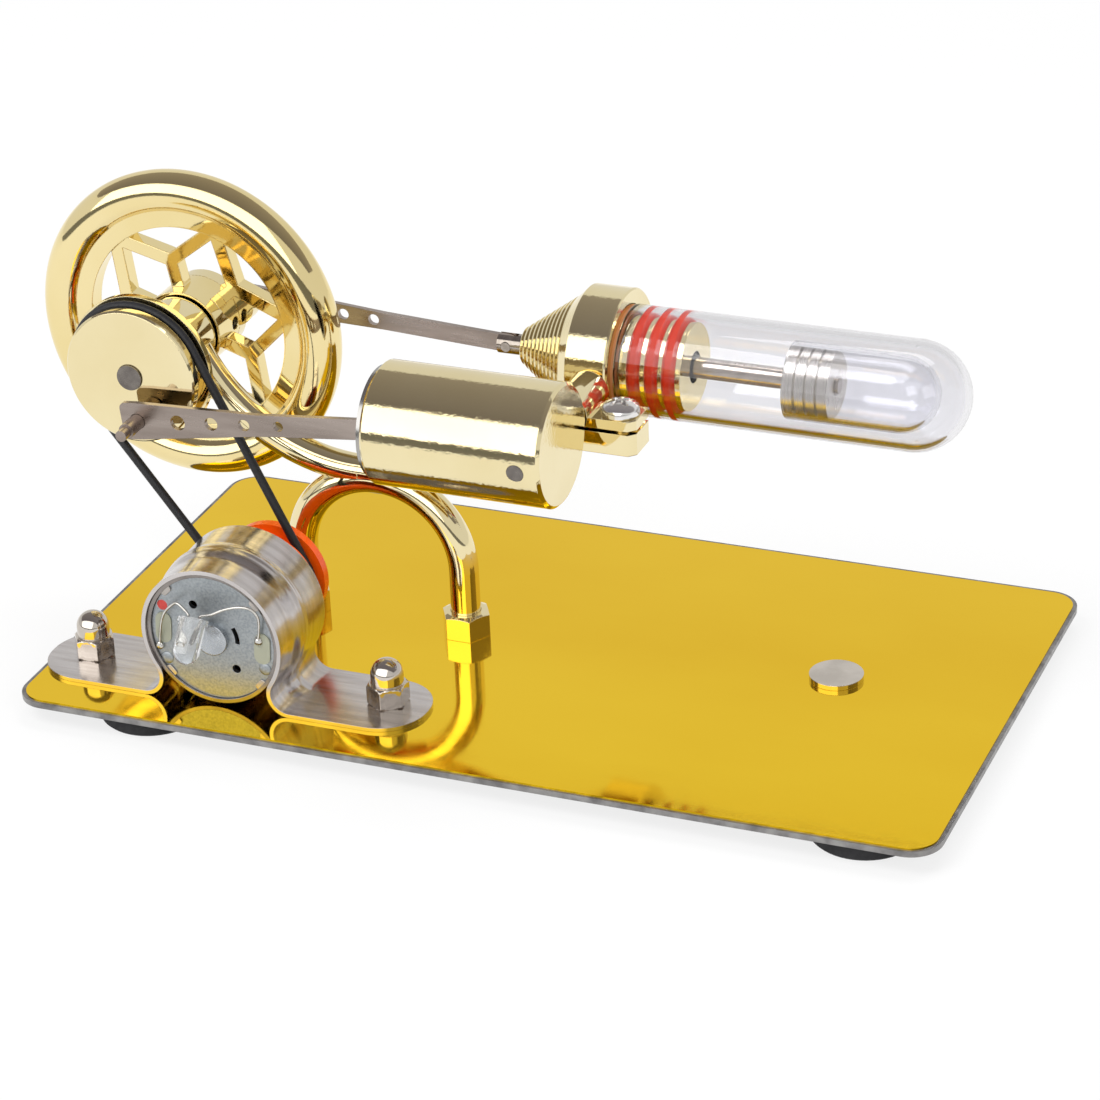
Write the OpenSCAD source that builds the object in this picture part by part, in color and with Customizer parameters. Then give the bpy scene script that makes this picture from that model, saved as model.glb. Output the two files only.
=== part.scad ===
/* [Base] */
// Length of the base plate
plate_l = 180; // [120:1:260]
// Width of the base plate
plate_w = 100; // [70:1:160]
// Thickness of the metal base plate
plate_t = 1.1; // [0.8:0.1:4]
// Radius of the plate corners
plate_corner_r = 6; // [2:0.5:15]
// Thickness of the mirror film on the plate
film_t = 0.2; // [0.1:0.05:0.5]
// Bare metal margin round the film
film_inset = 0.8; // [0.3:0.1:3]
// Diameter of a rubber foot pad
foot_d = 20; // [10:0.5:30]
// Height of a rubber foot pad
foot_h = 3.7; // [2:0.1:10]
// Bevel round the lower edge of a foot pad
foot_bevel = 0.5; // [0.2:0.1:1.5]
// Centre of the left foot pads from the left edge
foot_left_x = 24; // [12:0.5:60]
// Centre of the right foot pads from the right edge
foot_right_in = 16; // [12:0.5:60]
// Centre of the foot pads in from the long edges
foot_edge_y = 11.6; // [11:0.1:40]
// Diameter of the round rest disc on the plate
rest_d = 10.2; // [6:0.1:20]
// Thickness of the rest disc
rest_t = 1; // [0.5:0.1:3]
// Rest disc centre from the left edge
rest_x = 144.8; // [100:0.1:170]
// Rest disc centre from the front edge
rest_y = 54.4; // [20:0.1:80]

/* [Crankshaft] */
// Height of the crank axis above the plate
axis_z = 53.8; // [45:0.1:80]
// Crank axis from the left edge of the plate
crank_x = 14; // [8:0.1:40]
// Crank radius of both crank pins
crank_r = 7.5; // [4:0.1:10]
// Rest angle of the front crank pin
front_pin_angle = -66.5; // [-180:0.5:180]
// Angle by which the rear pin leads the front pin
pin_phase = 90; // [0:1:180]
// Diameter of the crank shaft
shaft_d = 5; // [3:0.1:6]
// How far the shaft end stands proud of the front disc
shaft_proud = 0.4; // [0.1:0.1:2]
// Diameter of the spacer behind each connecting rod
boss_d = 3.8; // [3:0.1:6]
// Length of the front spacer
front_boss_l = 2.7; // [1:0.1:6]
// Length of the rear spacer
rear_boss_l = 1; // [0.5:0.1:4]
// Gap between a spacer and its rod
pin_gap = 0.3; // [0.2:0.05:1]
// Radius of the front flange of the front disc
disc_front_r = 13.3; // [10:0.1:18]
// Radius of the rear flange of the front disc
disc_rear_r = 14.4; // [11:0.1:19]
// Thickness of the front flange of the front disc
disc_front_t = 2; // [0.5:0.1:4]
// Thickness of the rear flange of the front disc
disc_rear_t = 1.4; // [0.5:0.1:4]
// Rounding of the front face edge
disc_bevel = 0.35; // [0.1:0.05:1]
// Free gap between disc, bearing block and hub
side_gap = 0.6; // [0.3:0.1:2]
// Length of the flywheel hub
hub_l = 8.6; // [6:0.1:20]
// Radius of the flywheel hub
hub_r = 8.2; // [5:0.1:10]
// Thickness of the rear crank arm
rear_arm_t = 3; // [2:0.1:6]
// Radius of the rear crank arm round its pin
rear_arm_r = 4.4; // [3:0.1:7]

/* [Flywheel] */
// Centre line radius of the round flywheel rim
rim_r = 27.3; // [20:0.1:32]
// Radius of the round section of the rim
rim_bead_r = 4; // [2:0.1:5]
// Inner radius of the flat ring inside the rim
ring_r = 20.5; // [14:0.1:26]
// Thickness of the flat ring
ring_t = 4; // [2:0.1:7]
// Thickness of the star web
web_t = 3; // [1.5:0.1:6]
// Width of a bar of the star web
bar_w = 2.6; // [1.5:0.1:5]
// Distance from the hub front to the web middle
web_set = 4.5; // [3:0.1:12]
// Radius of the inner corners of the star
star_node_r = 13.6; // [10:0.1:18]
// Angle of the first outer corner of the star
star_angle = 11; // [0:0.5:60]
// Diameter of the set screw in the hub
set_screw_d = 2.5; // [1.5:0.1:4]
// Set screw centre in from the rear of the hub
set_screw_in = 1.9; // [1.5:0.1:5]
// Key size of the set screw
set_key = 1.1; // [0.6:0.1:2]

/* [Front rod and power piston] */
// Distance of the front rod from the front edge
front_rod_y = 28.5; // [20:0.1:35]
// Thickness of both connecting rods
rod_t = 1; // [0.6:0.1:2]
// Length of the front rod between centres
front_rod_l = 68; // [50:0.5:80]
// Height of the front rod at its big end
front_rod_h1 = 7.4; // [4:0.1:10]
// Height of the front rod at the waist
front_rod_h2 = 4.3; // [3:0.1:8]
// Height of the front rod at its small end
front_rod_h3 = 3.8; // [3:0.1:6]
// Length of the deep end of the front rod
front_rod_waist = 25; // [15:0.5:40]
// Length of the front rod beyond its big pin
front_rod_nose = 3.3; // [2.5:0.1:6]
// Corner radius of the big end of the front rod
front_rod_corner = 1.2; // [0.4:0.1:3]
// Distances of the lightening holes as shares of the rod length
front_hole_share = [0.125, 0.228, 0.328, 0.432];
// Diameters of the lightening holes in the front rod
front_hole_d = [3.0, 2.6, 2.3, 2.0];
// Diameter of the stud through the front rod
stud_d = 3; // [2:0.1:4]
// Length of the thick part of the stud in front of the rod
stud_l = 4.6; // [2:0.1:10]
// Diameter of the thin end of the stud
stud_tip_d = 2.2; // [1:0.1:3]
// Length of the thin end of the stud
stud_tip_l = 2.2; // [1:0.1:5]
// Outer diameter of the power cylinder
pcyl_d = 23; // [18:0.1:30]
// Open end of the power cylinder to the left of the wrist pin
pcyl_lead = 17.1; // [15:0.1:30]
// Closed end of the power cylinder beyond the cross tube
pcyl_beyond = 4.5; // [4:0.1:10]
// Thickness of the closed end wall
pcyl_end_t = 3; // [2:0.1:6]
// Edge bevel of the power cylinder
pcyl_bevel = 0.6; // [0.2:0.1:2]
// Outer diameter of the cylinder liner
liner_d = 20.8; // [14:0.1:24]
// How far the liner stands out of the open end
liner_out = 0.9; // [0.3:0.1:3]
// Diameter of the power piston bore
bore_d = 17; // [12:0.1:20]
// Length of the power piston
piston_l = 11; // [8:0.1:15]
// Distance from the wrist pin to the open end of the piston
piston_back = 4.5; // [3.5:0.1:6]
// Thickness of the piston skirt
piston_wall = 2; // [1:0.1:3]
// Thickness of the piston crown
crown_t = 2.5; // [1.5:0.1:4]
// Diameter of the wrist pin
wrist_d = 2; // [1.5:0.1:3]
// Diameter of the round plug in the cylinder side
plug_d = 3.2; // [2:0.1:5]

/* [Air passage] */
// Least distance of the cross tube beyond the wrist pin
tube_lead = 13.1; // [11:0.1:20]
// Least distance of the cross tube beyond the clevis pin
tube_reach = 21.5; // [19:0.1:30]
// Drop of the cross tube below the cylinder axes
tube_drop = 0.8; // [0:0.1:2]
// Outer diameter of the cross tube
tube_d = 6; // [4:0.1:8]
// Bore of the cross tube
tube_bore = 2.8; // [1.5:0.1:4]
// Wall of the socket that holds an end of the cross tube
socket_wall = 0.8; // [0.5:0.1:2]
// Length of the socket on the power cylinder
socket_l = 1.4; // [0.8:0.1:3]
// Depth of the cross tube in each socket
tube_seat = 1.2; // [0.8:0.1:2]

/* [Displacer head] */
// Tip of the head to the left of the cross tube
head_lead = 18; // [16:0.1:20]
// Radius of the head at its tip
head_tip_r = 3.5; // [3:0.1:5]
// Length of the grooved cone
cone_l = 10.8; // [6:0.1:20]
// Radius at the wide end of the grooved cone
cone_r = 11.2; // [7:0.1:12.5]
// Number of grooves in the cone
cone_ribs = 10; // [4:1:12]
// Depth of a groove in the cone
rib_deep = 0.4; // [0.2:0.05:0.8]
// Groove corners as shares of the groove spacing
rib_shares = [0.2, 0.35, 0.65, 0.8];
// Length of the smooth slope beyond the cone
slope_l = 2.1; // [1:0.1:4]
// Radius of the smooth band
band_r = 13.3; // [10:0.1:16]
// Length of the smooth band
band_l = 7.9; // [5:0.1:12]
// Edge bevel of the smooth band
band_bevel = 0.3; // [0.1:0.05:1]
// Length of the spigot inside the glass
spigot_l = 13.1; // [10:0.1:20]
// Radius of the spigot
spigot_r = 8.35; // [7:0.05:10]
// Bore through the head
head_bore = 6; // [5:0.1:7]
// Thickness of the wall at the tip of the head
head_tip_wall = 1.5; // [1:0.1:3]
// Length of the rod bush
bush_l = 12; // [8:0.1:15]
// Section diameter of a seal ring
seal_d = 2.5; // [1.5:0.1:3]
// Distance of the seal rings from the spigot end
seal_at = [2.35, 5.75, 9.25];
// Thickness of the gasket at the mouth of the glass
gasket_t = 0.6; // [0.5:0.1:2]
// How far the gasket stays inside the rim of the glass
gasket_in = 0.2; // [0:0.1:0.6]

/* [Glass and displacer] */
// Outer radius of the glass tube
glass_r = 10.4; // [8:0.05:13]
// Wall of the glass tube
glass_wall = 1.3; // [0.8:0.05:2]
// Length of the glass tube with its round end
glass_l = 65.3; // [50:0.1:90]
// Diameter of the displacer rod
disp_rod_d = 4; // [3:0.1:5]
// Length of the rear rod between centres
rear_rod_l = 55.5; // [45:0.5:60]
// Height of the rear rod at its big end
rear_rod_h1 = 5; // [3.5:0.1:8]
// Height of the rear rod at its small end
rear_rod_h2 = 3.4; // [2.5:0.1:5]
// Length over which the rear rod narrows
rear_rod_waist = 30; // [15:0.5:45]
// Holes in the rear rod as shares of its length
rear_hole_share = [0.122, 0.386, 0.5];
// Diameters of the holes in the rear rod
rear_hole_d = [2.9, 2.2, 2.2];
// Diameter of the screw through the rear rod
rear_screw_d = 2; // [1.5:0.1:3]
// Head diameter of the rear rod screw
rear_head_d = 3.8; // [3:0.1:6]
// Head height of the rear rod screw
rear_head_h = 1.3; // [0.8:0.1:3]
// Diameter of the clevis pin
clevis_d = 1.9; // [1.2:0.1:2.5]
// Slack on each side of the rod in the slots
slot_slack = 0.12; // [0.05:0.01:0.4]
// Depth of the clevis slot beyond the pin
slot_deep = 2.1; // [1.8:0.1:4]
// Length of the rod end beyond the clevis pin
clevis_nose = 1.8; // [1.2:0.1:3]
// Room beyond the displacer at rest
disp_room = 4.5; // [1.5:0.1:8]
// Length of the displacer plug
dplug_l = 8.5; // [5:0.1:15]
// Radius of the lands on the displacer plug
dplug_r = 6.3; // [5:0.05:8]
// Depth of the grooves on the displacer plug
dplug_groove = 0.7; // [0.3:0.05:1.5]
// Number of lands on the displacer plug
dplug_lands = 4; // [2:1:6]
// Wall of the displacer glass
dglass_wall = 0.95; // [0.5:0.05:2]
// Length of the displacer glass
dglass_l = 27.9; // [20:0.1:45]
// Diameter of the nut on the rod inside the displacer
dnut_d = 3; // [2:0.1:4]
// Length of the rod end that shows behind the plug
dnut_l = 0.6; // [0.3:0.1:2]

/* [Frame] */
// Distance of the frame legs behind the front edge
frame_y = 50; // [40:0.1:60]
// Middle of the arch from the left plate edge
arch_x = 55.2; // [45:0.1:70]
// Distance between the two legs
leg_span = 33.6; // [24:0.1:45]
// Diameter of the bent frame bar
bar_d = 5.8; // [4:0.1:7]
// Height at which the legs start to bend
leg_h = 13.6; // [8:0.1:25]
// Centre line radius of the left arm
left_arm_r = 37; // [30:0.5:60]
// Sweep angle of the left arm
left_arm_sweep = 64; // [40:0.5:80]
// Start of the arms from the middle of the arch
arm_start = 3; // [0:0.1:8]
// Rise of the arms above the centre line of the arch
arm_lift = 1.4; // [0.5:0.1:2.5]
// Radius of the bearing block
housing_r = 7.5; // [6:0.1:10]
// Length of the bearing block
housing_l = 14.4; // [9:0.1:18]
// Outer diameter of a ball bearing
bearing_d = 10; // [8:0.1:12]
// Width of a ball bearing
bearing_w = 4; // [2:0.1:5]
// Race thickness of a ball bearing
race_t = 0.75; // [0.4:0.05:1.2]
// Radius of the clamp ring round the cross tube
ring_clamp_r = 4; // [3.6:0.1:6]
// How far the clamp ring passes behind the frame bar
ring_over = 0.3; // [0.1:0.1:0.6]
// Width of the clamp ears from front to back
clamp_w = 7.4; // [5:0.1:10]
// Distance of the clamp front behind the front edge
clamp_y0 = 42; // [41:0.1:46]
// Reach of the clamp ears beyond the tube centre
ear_reach = 13; // [8:0.1:18]
// Drop of the clamp slot below the tube centre
slot_drop = 2.1; // [0:0.1:3]
// Height of the clamp slot
slot_h = 0.7; // [0.4:0.05:1.5]
// Thickness of the upper ear
ear_up = 1.9; // [1.2:0.1:5]
// Thickness of the lower ear
ear_low = 4.2; // [2:0.1:6]
// Corner bevel of the ears
ear_bevel = 1.3; // [0.3:0.1:3]
// Screw centre in from the end of the ears
clamp_screw_in = 3.9; // [3:0.1:6]
// Thread diameter of the clamp and leg screws
m3_d = 3; // [2:0.1:4]
// Head diameter of the leg screws
m3_head_d = 6; // [4.5:0.1:7]
// Head diameter of the clamp screw
clamp_head_d = 7.2; // [5:0.1:7.4]
// Head height of the clamp screw
clamp_head_h = 2.6; // [1.5:0.1:3]
// Head height of a leg screw below the plate
leg_head_h = 1.8; // [1:0.1:3]
// Depth of a leg screw in its leg
leg_screw_l = 9; // [5:0.1:14]
// Width of a cross recess
cross_w = 0.8; // [0.4:0.05:1.2]
// Depth of a cross recess
cross_deep = 0.9; // [0.4:0.1:1.5]
// Length of a cross recess as a share of the screw head
cross_share = 0.6; // [0.4:0.05:0.8]
// Dome radius of the clamp screw as a share of its head
dome_share = 0.8; // [0.6:0.05:1.5]
// Size across the flats of a leg nut
leg_nut_af = 8.4; // [7:0.1:12]
// Height of a leg nut
leg_nut_h = 4.9; // [3:0.1:8]
// Bevel of the nut corners
nut_bevel = 0.5; // [0.2:0.05:1]

/* [Generator] */
// Motor centre from the left plate edge
motor_x = 38.6; // [30:0.1:50]
// Radius of the motor can
motor_r = 13.4; // [9:0.1:15]
// Free height of the motor above the plate
motor_lift = 0.5; // [0.3:0.1:3]
// Front rim of the motor from the front edge
motor_y0 = 9.6; // [5:0.1:20]
// Length of the motor can
motor_l = 18.2; // [15:0.1:30]
// Wall of the motor can
can_t = 0.8; // [0.5:0.05:1.5]
// Depth of the end plate behind the rim
end_in = 0.5; // [0.2:0.1:2]
// Thickness of the end plate
end_t = 1; // [0.6:0.1:2]
// Diameter of the raised bearing boss on the end plate
end_boss_d = 6.4; // [4:0.1:9]
// Height of the raised bearing boss
end_boss_h = 0.7; // [0.3:0.1:2]
// Diameter of the round holes in the end plate
end_hole_d = 1.7; // [1:0.1:3]
// Radius on which the holes and the curved slot lie
end_hole_r = 7.3; // [5:0.1:10]
// Angles of the round holes about the motor axis
end_hole_turn = [-53.3, 119.2];
// Radius of the curved slot centre line
end_slot_r = 5; // [4:0.1:8]
// Angles at the ends of the curved slot
end_slot_turn = [-6, 32];
// Width of the curved slot
end_slot_w = 0.9; // [0.5:0.1:2]
// Radius on which the terminals lie
term_r = 10.1; // [8:0.1:12]
// Width of a terminal window
term_w = 3.2; // [2:0.1:4]
// Height of a terminal window
term_h = 6.3; // [4:0.1:8]
// Turn of the terminals about the motor axis
term_turn = 3.7; // [-20:0.1:20]
// How far a terminal pad stands out of its window
term_out = 0.25; // [0.1:0.05:0.6]
// Diameter of the motor shaft
motor_shaft_d = 2; // [1.5:0.1:3]
// Radial thickness of the field magnets
magnet_t = 2.6; // [1.5:0.1:4]
// Length of the field magnets
magnet_l = 10; // [6:0.1:14]
// Angles at the ends of a field magnet
magnet_turn = [30, 150];
// Clear gap round the armature
air_gap = 0.7; // [0.4:0.1:2]
// Thickness of the strap bracket
strap_t = 0.8; // [0.6:0.05:2]
// Front edge of the bracket from the front edge
strap_y0 = 9; // [5:0.1:15]
// Width of the bracket
strap_w = 18.5; // [15:0.1:30]
// Outer fillet radius of the bracket
strap_fillet = 3.5; // [1.5:0.1:6]
// Sharpness of the crease where a bend of the bracket begins
bend_ease = 0.005; // [0.003:0.001:0.02]
// Half length of the bracket
strap_reach = 39; // [30:0.1:50]
// Corner radius of the bracket ends
strap_corner = 8.8; // [2:0.1:9]
// Bolt centre from the motor centre
bolt_reach = 30.6; // [22:0.1:40]
// Bolt centre behind the front edge of the bracket
bolt_in = 10.3; // [6:0.1:14]
// Diameter of the bracket bolts
bolt_d = 4; // [3:0.1:5]
// Head diameter of the bracket bolts
bolt_head_d = 7; // [6:0.1:9]
// Head height of the bracket bolts
bolt_head_h = 2.4; // [1.5:0.1:3]
// Size across the flats of a cap nut
cap_af = 7; // [5:0.1:10]
// Height of the hexagon of a cap nut
cap_hex_h = 4.1; // [2:0.1:6]
// Radius of the dome of a cap nut
cap_dome_r = 3.1; // [2:0.1:4]
// Height of a cap nut
cap_h = 8.3; // [5:0.1:12]
// Belt groove radius on the pulley, to the belt centre
pulley_groove_r = 8.5; // [5:0.1:11]
// Radius of the front flange of the pulley
pulley_front_r = 9.9; // [8:0.1:13]
// Radius of the rear flange of the pulley
pulley_rear_r = 10.5; // [8:0.1:13]
// Thickness of the front flange of the pulley
pulley_front_t = 0.8; // [0.5:0.1:2]
// Thickness of the rear flange of the pulley
pulley_rear_t = 1.8; // [0.8:0.1:3]
// Belt groove radius on the front disc, to the belt centre
disc_groove_r = 13.2; // [8:0.1:15]
// Diameter of the round belt
belt_d = 2; // [1:0.1:3]
// Width of the belt groove
groove_w = 2.6; // [2.2:0.1:4]
// Gap between the belt and the floor of each groove
belt_gap = 0.3; // [0.1:0.05:0.5]

/* [Lamp] */
// Diameter of the lamp body
led_d = 5; // [3:0.1:8]
// Diameter of the lamp collar
led_collar_d = 5.8; // [4:0.1:9]
// Height of the lamp collar
led_collar_h = 1; // [0.5:0.1:2]
// Length of the lamp with its dome
led_l = 8.6; // [5:0.1:12]
// Forward tilt of the lamp below level
led_tilt = 53.4; // [0:0.1:90]
// Lamp base from the motor centre to the left
led_left = 1.9; // [-5:0.1:8]
// Lamp base above the motor centre
led_up = 5.4; // [0:0.1:12]
// Lamp base in front of the motor rim
led_front = 2.9; // [1:0.1:6]
// Diameter of a lamp lead
lead_d = 0.6; // [0.4:0.05:1]
// Spacing of the lamp leads
lead_pitch = 2.54; // [2:0.01:4]
// Diameter of a solder bead
solder_d = 1.5; // [0.8:0.1:3]
// Height of a solder bead
solder_h = 0.9; // [0.5:0.1:2]
// Bends of the left lead as shares of motor radius, lamp setback and motor radius
left_lead_shares = [[-0.41, 0.7, 0.58], [-0.73, 0.4, 0.23], [-0.8, 0.2, -0.16]];
// Bends of the right lead as shares of motor radius, lamp setback and motor radius
right_lead_shares = [[0.5, 0.75, 0.58], [0.7, 0.6, 0.63], [0.79, 0.4, 0.46]];
// Solder beads as shares of the motor radius from the motor axis
left_bead_shares = [-0.82, -0.23];
right_bead_shares = [0.71, 0.07];

/* [Fit] */
// Radial running clearance of shafts, pins and pistons
fit = 0.05; // [0.01:0.01:0.1]
// Radial clearance of bolt holes
hole_slack = 0.1; // [0.05:0.01:0.5]
// Overrun of cutting shapes
cut = 0.5; // [0.1:0.1:2]

/* [View] */
// Sub-part to show

/* [Hidden] */
$fn = 96;
base_top = foot_h + plate_t + film_t;
fly_over = rim_r + rim_bead_r - crank_x;
mid_x = (plate_l - fly_over) / 2;
mid_y = plate_w / 2;
disc_y0 = front_rod_y + rod_t / 2 + pin_gap + front_boss_l;
disc_t = disc_front_t + groove_w + disc_rear_t;
belt_y = disc_y0 + disc_front_t + groove_w / 2;
housing_y0 = disc_y0 + disc_t + side_gap;
hub_y0 = housing_y0 + housing_l + side_gap;
web_y = hub_y0 + web_set;
rear_arm_y0 = hub_y0 + hub_l;
rear_boss_y0 = rear_arm_y0 + rear_arm_t;
rear_rod_y = rear_boss_y0 + rear_boss_l + pin_gap + rod_t / 2;
disp_y = rear_rod_y;
rear_pin_angle = front_pin_angle + pin_phase;
fpx = crank_x + crank_r * cos(front_pin_angle);
fpz = axis_z + crank_r * sin(front_pin_angle);
rpx = crank_x + crank_r * cos(rear_pin_angle);
rpz = axis_z + crank_r * sin(rear_pin_angle);
wrist_x = fpx + sqrt(front_rod_l * front_rod_l - (fpz - axis_z) * (fpz - axis_z));
clevis_x = rpx + sqrt(rear_rod_l * rear_rod_l - (rpz - axis_z) * (rpz - axis_z));
front_rod_tilt = asin((axis_z - fpz) / front_rod_l);
rear_rod_tilt = asin((axis_z - rpz) / rear_rod_l);
pcyl_r = pcyl_d / 2;
tube_x = max(wrist_x + tube_lead, clevis_x + tube_reach);
pcyl_x0 = wrist_x - pcyl_lead;
pcyl_x1 = tube_x + pcyl_beyond;
tube_z = axis_z - tube_drop;
socket_r = tube_d / 2 + socket_wall;
tube_y0 = front_rod_y + pcyl_r + socket_l - tube_seat;
tube_y1 = disp_y - sqrt(band_r * band_r - socket_r * socket_r) + tube_seat;
head_x0 = tube_x - head_lead;
head_x1 = head_x0 + cone_l + slope_l + band_l;
spigot_x1 = head_x1 + spigot_l;
glass_x0 = head_x1 + gasket_t;
glass_x1 = glass_x0 + glass_l;
glass_ri = glass_r - glass_wall;
seal_r = glass_ri - fit - seal_d / 2;
dglass_x1 = glass_x1 - glass_wall - disp_room;
dplug_x0 = dglass_x1 - dglass_l;
dglass_r = dplug_r + fit + dglass_wall;
slot_z = tube_z - slot_drop;
ear_x1 = tube_x + ear_reach;
ear_top = slot_z + slot_h / 2 + ear_up;
ear_bottom = slot_z - slot_h / 2 - ear_low;
clamp_screw_x = ear_x1 - clamp_screw_in;
clamp_screw_y = clamp_y0 + clamp_w / 2;
arch_r = leg_span / 2;
arch_top = leg_h + arch_r;
arm_z = arch_top + arm_lift;
left_arm_z = arm_z + left_arm_r;
right_dx = tube_x - arch_x - arm_start;
right_dz = tube_z - arm_z;
right_arm_r = (right_dx * right_dx + right_dz * right_dz) / (2 * right_dz);
right_arm_sweep = asin(right_dx / right_arm_r);
motor_z = motor_r + motor_lift;
strap_ri = motor_r + fit;
strap_ro = strap_ri + strap_t;
strap_y1 = strap_y0 + strap_w;
bolt_y = strap_y0 + bolt_in;
fillet_z = strap_t + strap_fillet;
fillet_d = strap_ro + strap_fillet;
fillet_dx = sqrt(fillet_d * fillet_d - (motor_z - fillet_z) * (motor_z - fillet_z));
fillet_a = asin((motor_z - fillet_z) / fillet_d);
belt_dx = motor_x - crank_x;
belt_dz = motor_z - axis_z;
belt_c = sqrt(belt_dx * belt_dx + belt_dz * belt_dz);
belt_dir = atan2(belt_dz, belt_dx);
belt_a = acos((disc_groove_r - pulley_groove_r) / belt_c);
belt_run = sqrt(belt_c * belt_c - pow(disc_groove_r - pulley_groove_r, 2));
pulley_y0 = belt_y - groove_w / 2 - pulley_front_t;
pulley_y1 = belt_y + groove_w / 2 + pulley_rear_t;
motor_y1 = motor_y0 + motor_l;
end_y = motor_y0 + end_in;
lead_x0 = motor_x - led_left;
lead_z0 = motor_z + led_up;
lead_y0 = motor_y0 - led_front;
bead_y = end_y - term_out - solder_h / 2;
armature_r = motor_r - can_t - magnet_t - air_gap;

module place() {
    translate([-mid_x, -mid_y, base_top]) children();
}

module rod_y(r, y0, y1) {
    translate([0, y0, 0]) rotate([-90, 0, 0]) cylinder(r = r, h = y1 - y0);
}

module rod_x(r, x0, x1) {
    translate([x0, 0, 0]) rotate([0, 90, 0]) cylinder(r = r, h = x1 - x0);
}

module arc_y(r0, r1, w, a0, a1) {
    rotate([90, 0, 0]) rotate([0, 0, a0]) rotate_extrude(angle = a1 - a0)
        translate([r0, 0]) square([r1 - r0, w]);
}

module bend_y(r, rt, a0, a1) {
    rotate([90, 0, 0]) rotate([0, 0, a0]) rotate_extrude(angle = a1 - a0)
        translate([r, 0]) circle(r = rt, $fn = 48);
}

module slab_y(t) {
    rotate([90, 0, 0]) linear_extrude(t, center = true) children();
}

module turn_x() {
    rotate([0, 90, 0]) rotate_extrude() children();
}

module at_crank() {
    translate([crank_x, 0, axis_z]) children();
}

module at_motor() {
    translate([motor_x, 0, motor_z]) children();
}

module at_power() {
    translate([0, front_rod_y, axis_z]) children();
}

module at_disp() {
    translate([0, disp_y, axis_z]) children();
}

module plate_shape(inset) {
    r = plate_corner_r - inset;
    union() {
        translate([plate_corner_r, inset]) square([plate_l - 2 * plate_corner_r, plate_w - 2 * inset]);
        translate([inset, plate_corner_r]) square([plate_l - 2 * inset, plate_w - 2 * plate_corner_r]);
        for (x = [plate_corner_r, plate_l - plate_corner_r])
            for (y = [plate_corner_r, plate_w - plate_corner_r])
                translate([x, y]) circle(r = r);
    }
}

module base_holes() {
    for (s = [-1, 1]) {
        translate([motor_x + s * bolt_reach, bolt_y]) circle(d = bolt_d + 2 * hole_slack);
        translate([arch_x + s * arch_r, frame_y]) circle(d = m3_d + 2 * hole_slack);
    }
}

module base_plate() {
    color("silver") place() translate([0, 0, -film_t - plate_t]) linear_extrude(plate_t)
        difference() {
            plate_shape(0);
            base_holes();
        }
}

module base_film() {
    color("gold") place() translate([0, 0, -film_t]) linear_extrude(film_t)
        difference() {
            plate_shape(film_inset);
            base_holes();
        }
}

module foot_pads() {
    color("black") place()
        for (x = [foot_left_x, plate_l - foot_right_in])
            for (y = [foot_edge_y, plate_w - foot_edge_y])
                translate([x, y, -base_top]) rotate_extrude()
                    polygon([[0, 0], [foot_d / 2 - foot_bevel, 0], [foot_d / 2, foot_bevel],
                        [foot_d / 2, foot_h], [0, foot_h]]);
}

module rest_disc() {
    color("silver") place() translate([rest_x, rest_y, 0]) cylinder(d = rest_d, h = rest_t);
}

module ear_shape() {
    polygon([[tube_x, clamp_y0], [ear_x1 - ear_bevel, clamp_y0], [ear_x1, clamp_y0 + ear_bevel],
        [ear_x1, clamp_y0 + clamp_w], [tube_x, clamp_y0 + clamp_w]]);
}

module support_frame() {
    color("gold") place() difference() {
        union() {
            for (s = [-1, 1])
                translate([arch_x + s * arch_r, frame_y, 0]) cylinder(d = bar_d, h = leg_h);
            translate([arch_x, frame_y, leg_h]) bend_y(arch_r, bar_d / 2, 0, 180);
            translate([arch_x - arm_start, frame_y, left_arm_z])
                bend_y(left_arm_r, bar_d / 2, 270 - left_arm_sweep, 270);
            translate([arch_x + arm_start, frame_y, arm_z + right_arm_r])
                bend_y(right_arm_r, bar_d / 2, 270, 270 + right_arm_sweep);
            translate([arch_x - arm_start, frame_y, arm_z])
                rod_x(bar_d / 2 - fit, -cut, 2 * arm_start + cut);
            at_crank() rod_y(housing_r, housing_y0, housing_y0 + housing_l);
            translate([tube_x, 0, tube_z]) rod_y(ring_clamp_r, clamp_y0, frame_y + bar_d / 2 + ring_over);
            translate([0, 0, ear_bottom]) linear_extrude(ear_top - ear_bottom) ear_shape();
        }
        at_crank() rod_y(bearing_d / 2 - race_t, housing_y0 - cut, housing_y0 + housing_l + cut);
        at_crank() rod_y(bearing_d / 2, housing_y0 - cut, housing_y0 + bearing_w);
        at_crank() rod_y(bearing_d / 2, housing_y0 + housing_l - bearing_w, housing_y0 + housing_l + cut);
        translate([tube_x, 0, tube_z])
            rod_y(tube_d / 2 + fit, clamp_y0 - cut, frame_y + bar_d);
        translate([tube_x, clamp_y0 - cut, slot_z - slot_h / 2])
            cube([ear_reach + cut, clamp_w + 2 * cut, slot_h]);
        translate([clamp_screw_x, clamp_screw_y, ear_bottom - cut])
            cylinder(d = m3_d + 2 * hole_slack, h = ear_top - ear_bottom + 2 * cut);
        for (s = [-1, 1])
            translate([arch_x + s * arch_r, frame_y, -cut])
                cylinder(d = m3_d + 2 * fit, h = leg_screw_l + cut);
    }
}

module hex_ring(af, h, bore, bevel) {
    difference() {
        intersection() {
            cylinder(d = af / cos(30), h = h, $fn = 6);
            rotate_extrude() polygon([[0, 0], [af / cos(30) / 2, 0], [af / cos(30) / 2, h - bevel],
                [af / 2 - bevel, h], [0, h]]);
        }
        translate([0, 0, -cut]) cylinder(r = bore, h = h + 2 * cut);
    }
}

module frame_leg_nuts() {
    color("gold") place()
        for (s = [-1, 1])
            translate([arch_x + s * arch_r, frame_y, 0])
                hex_ring(leg_nut_af, leg_nut_h, bar_d / 2 + fit, nut_bevel);
}

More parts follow.
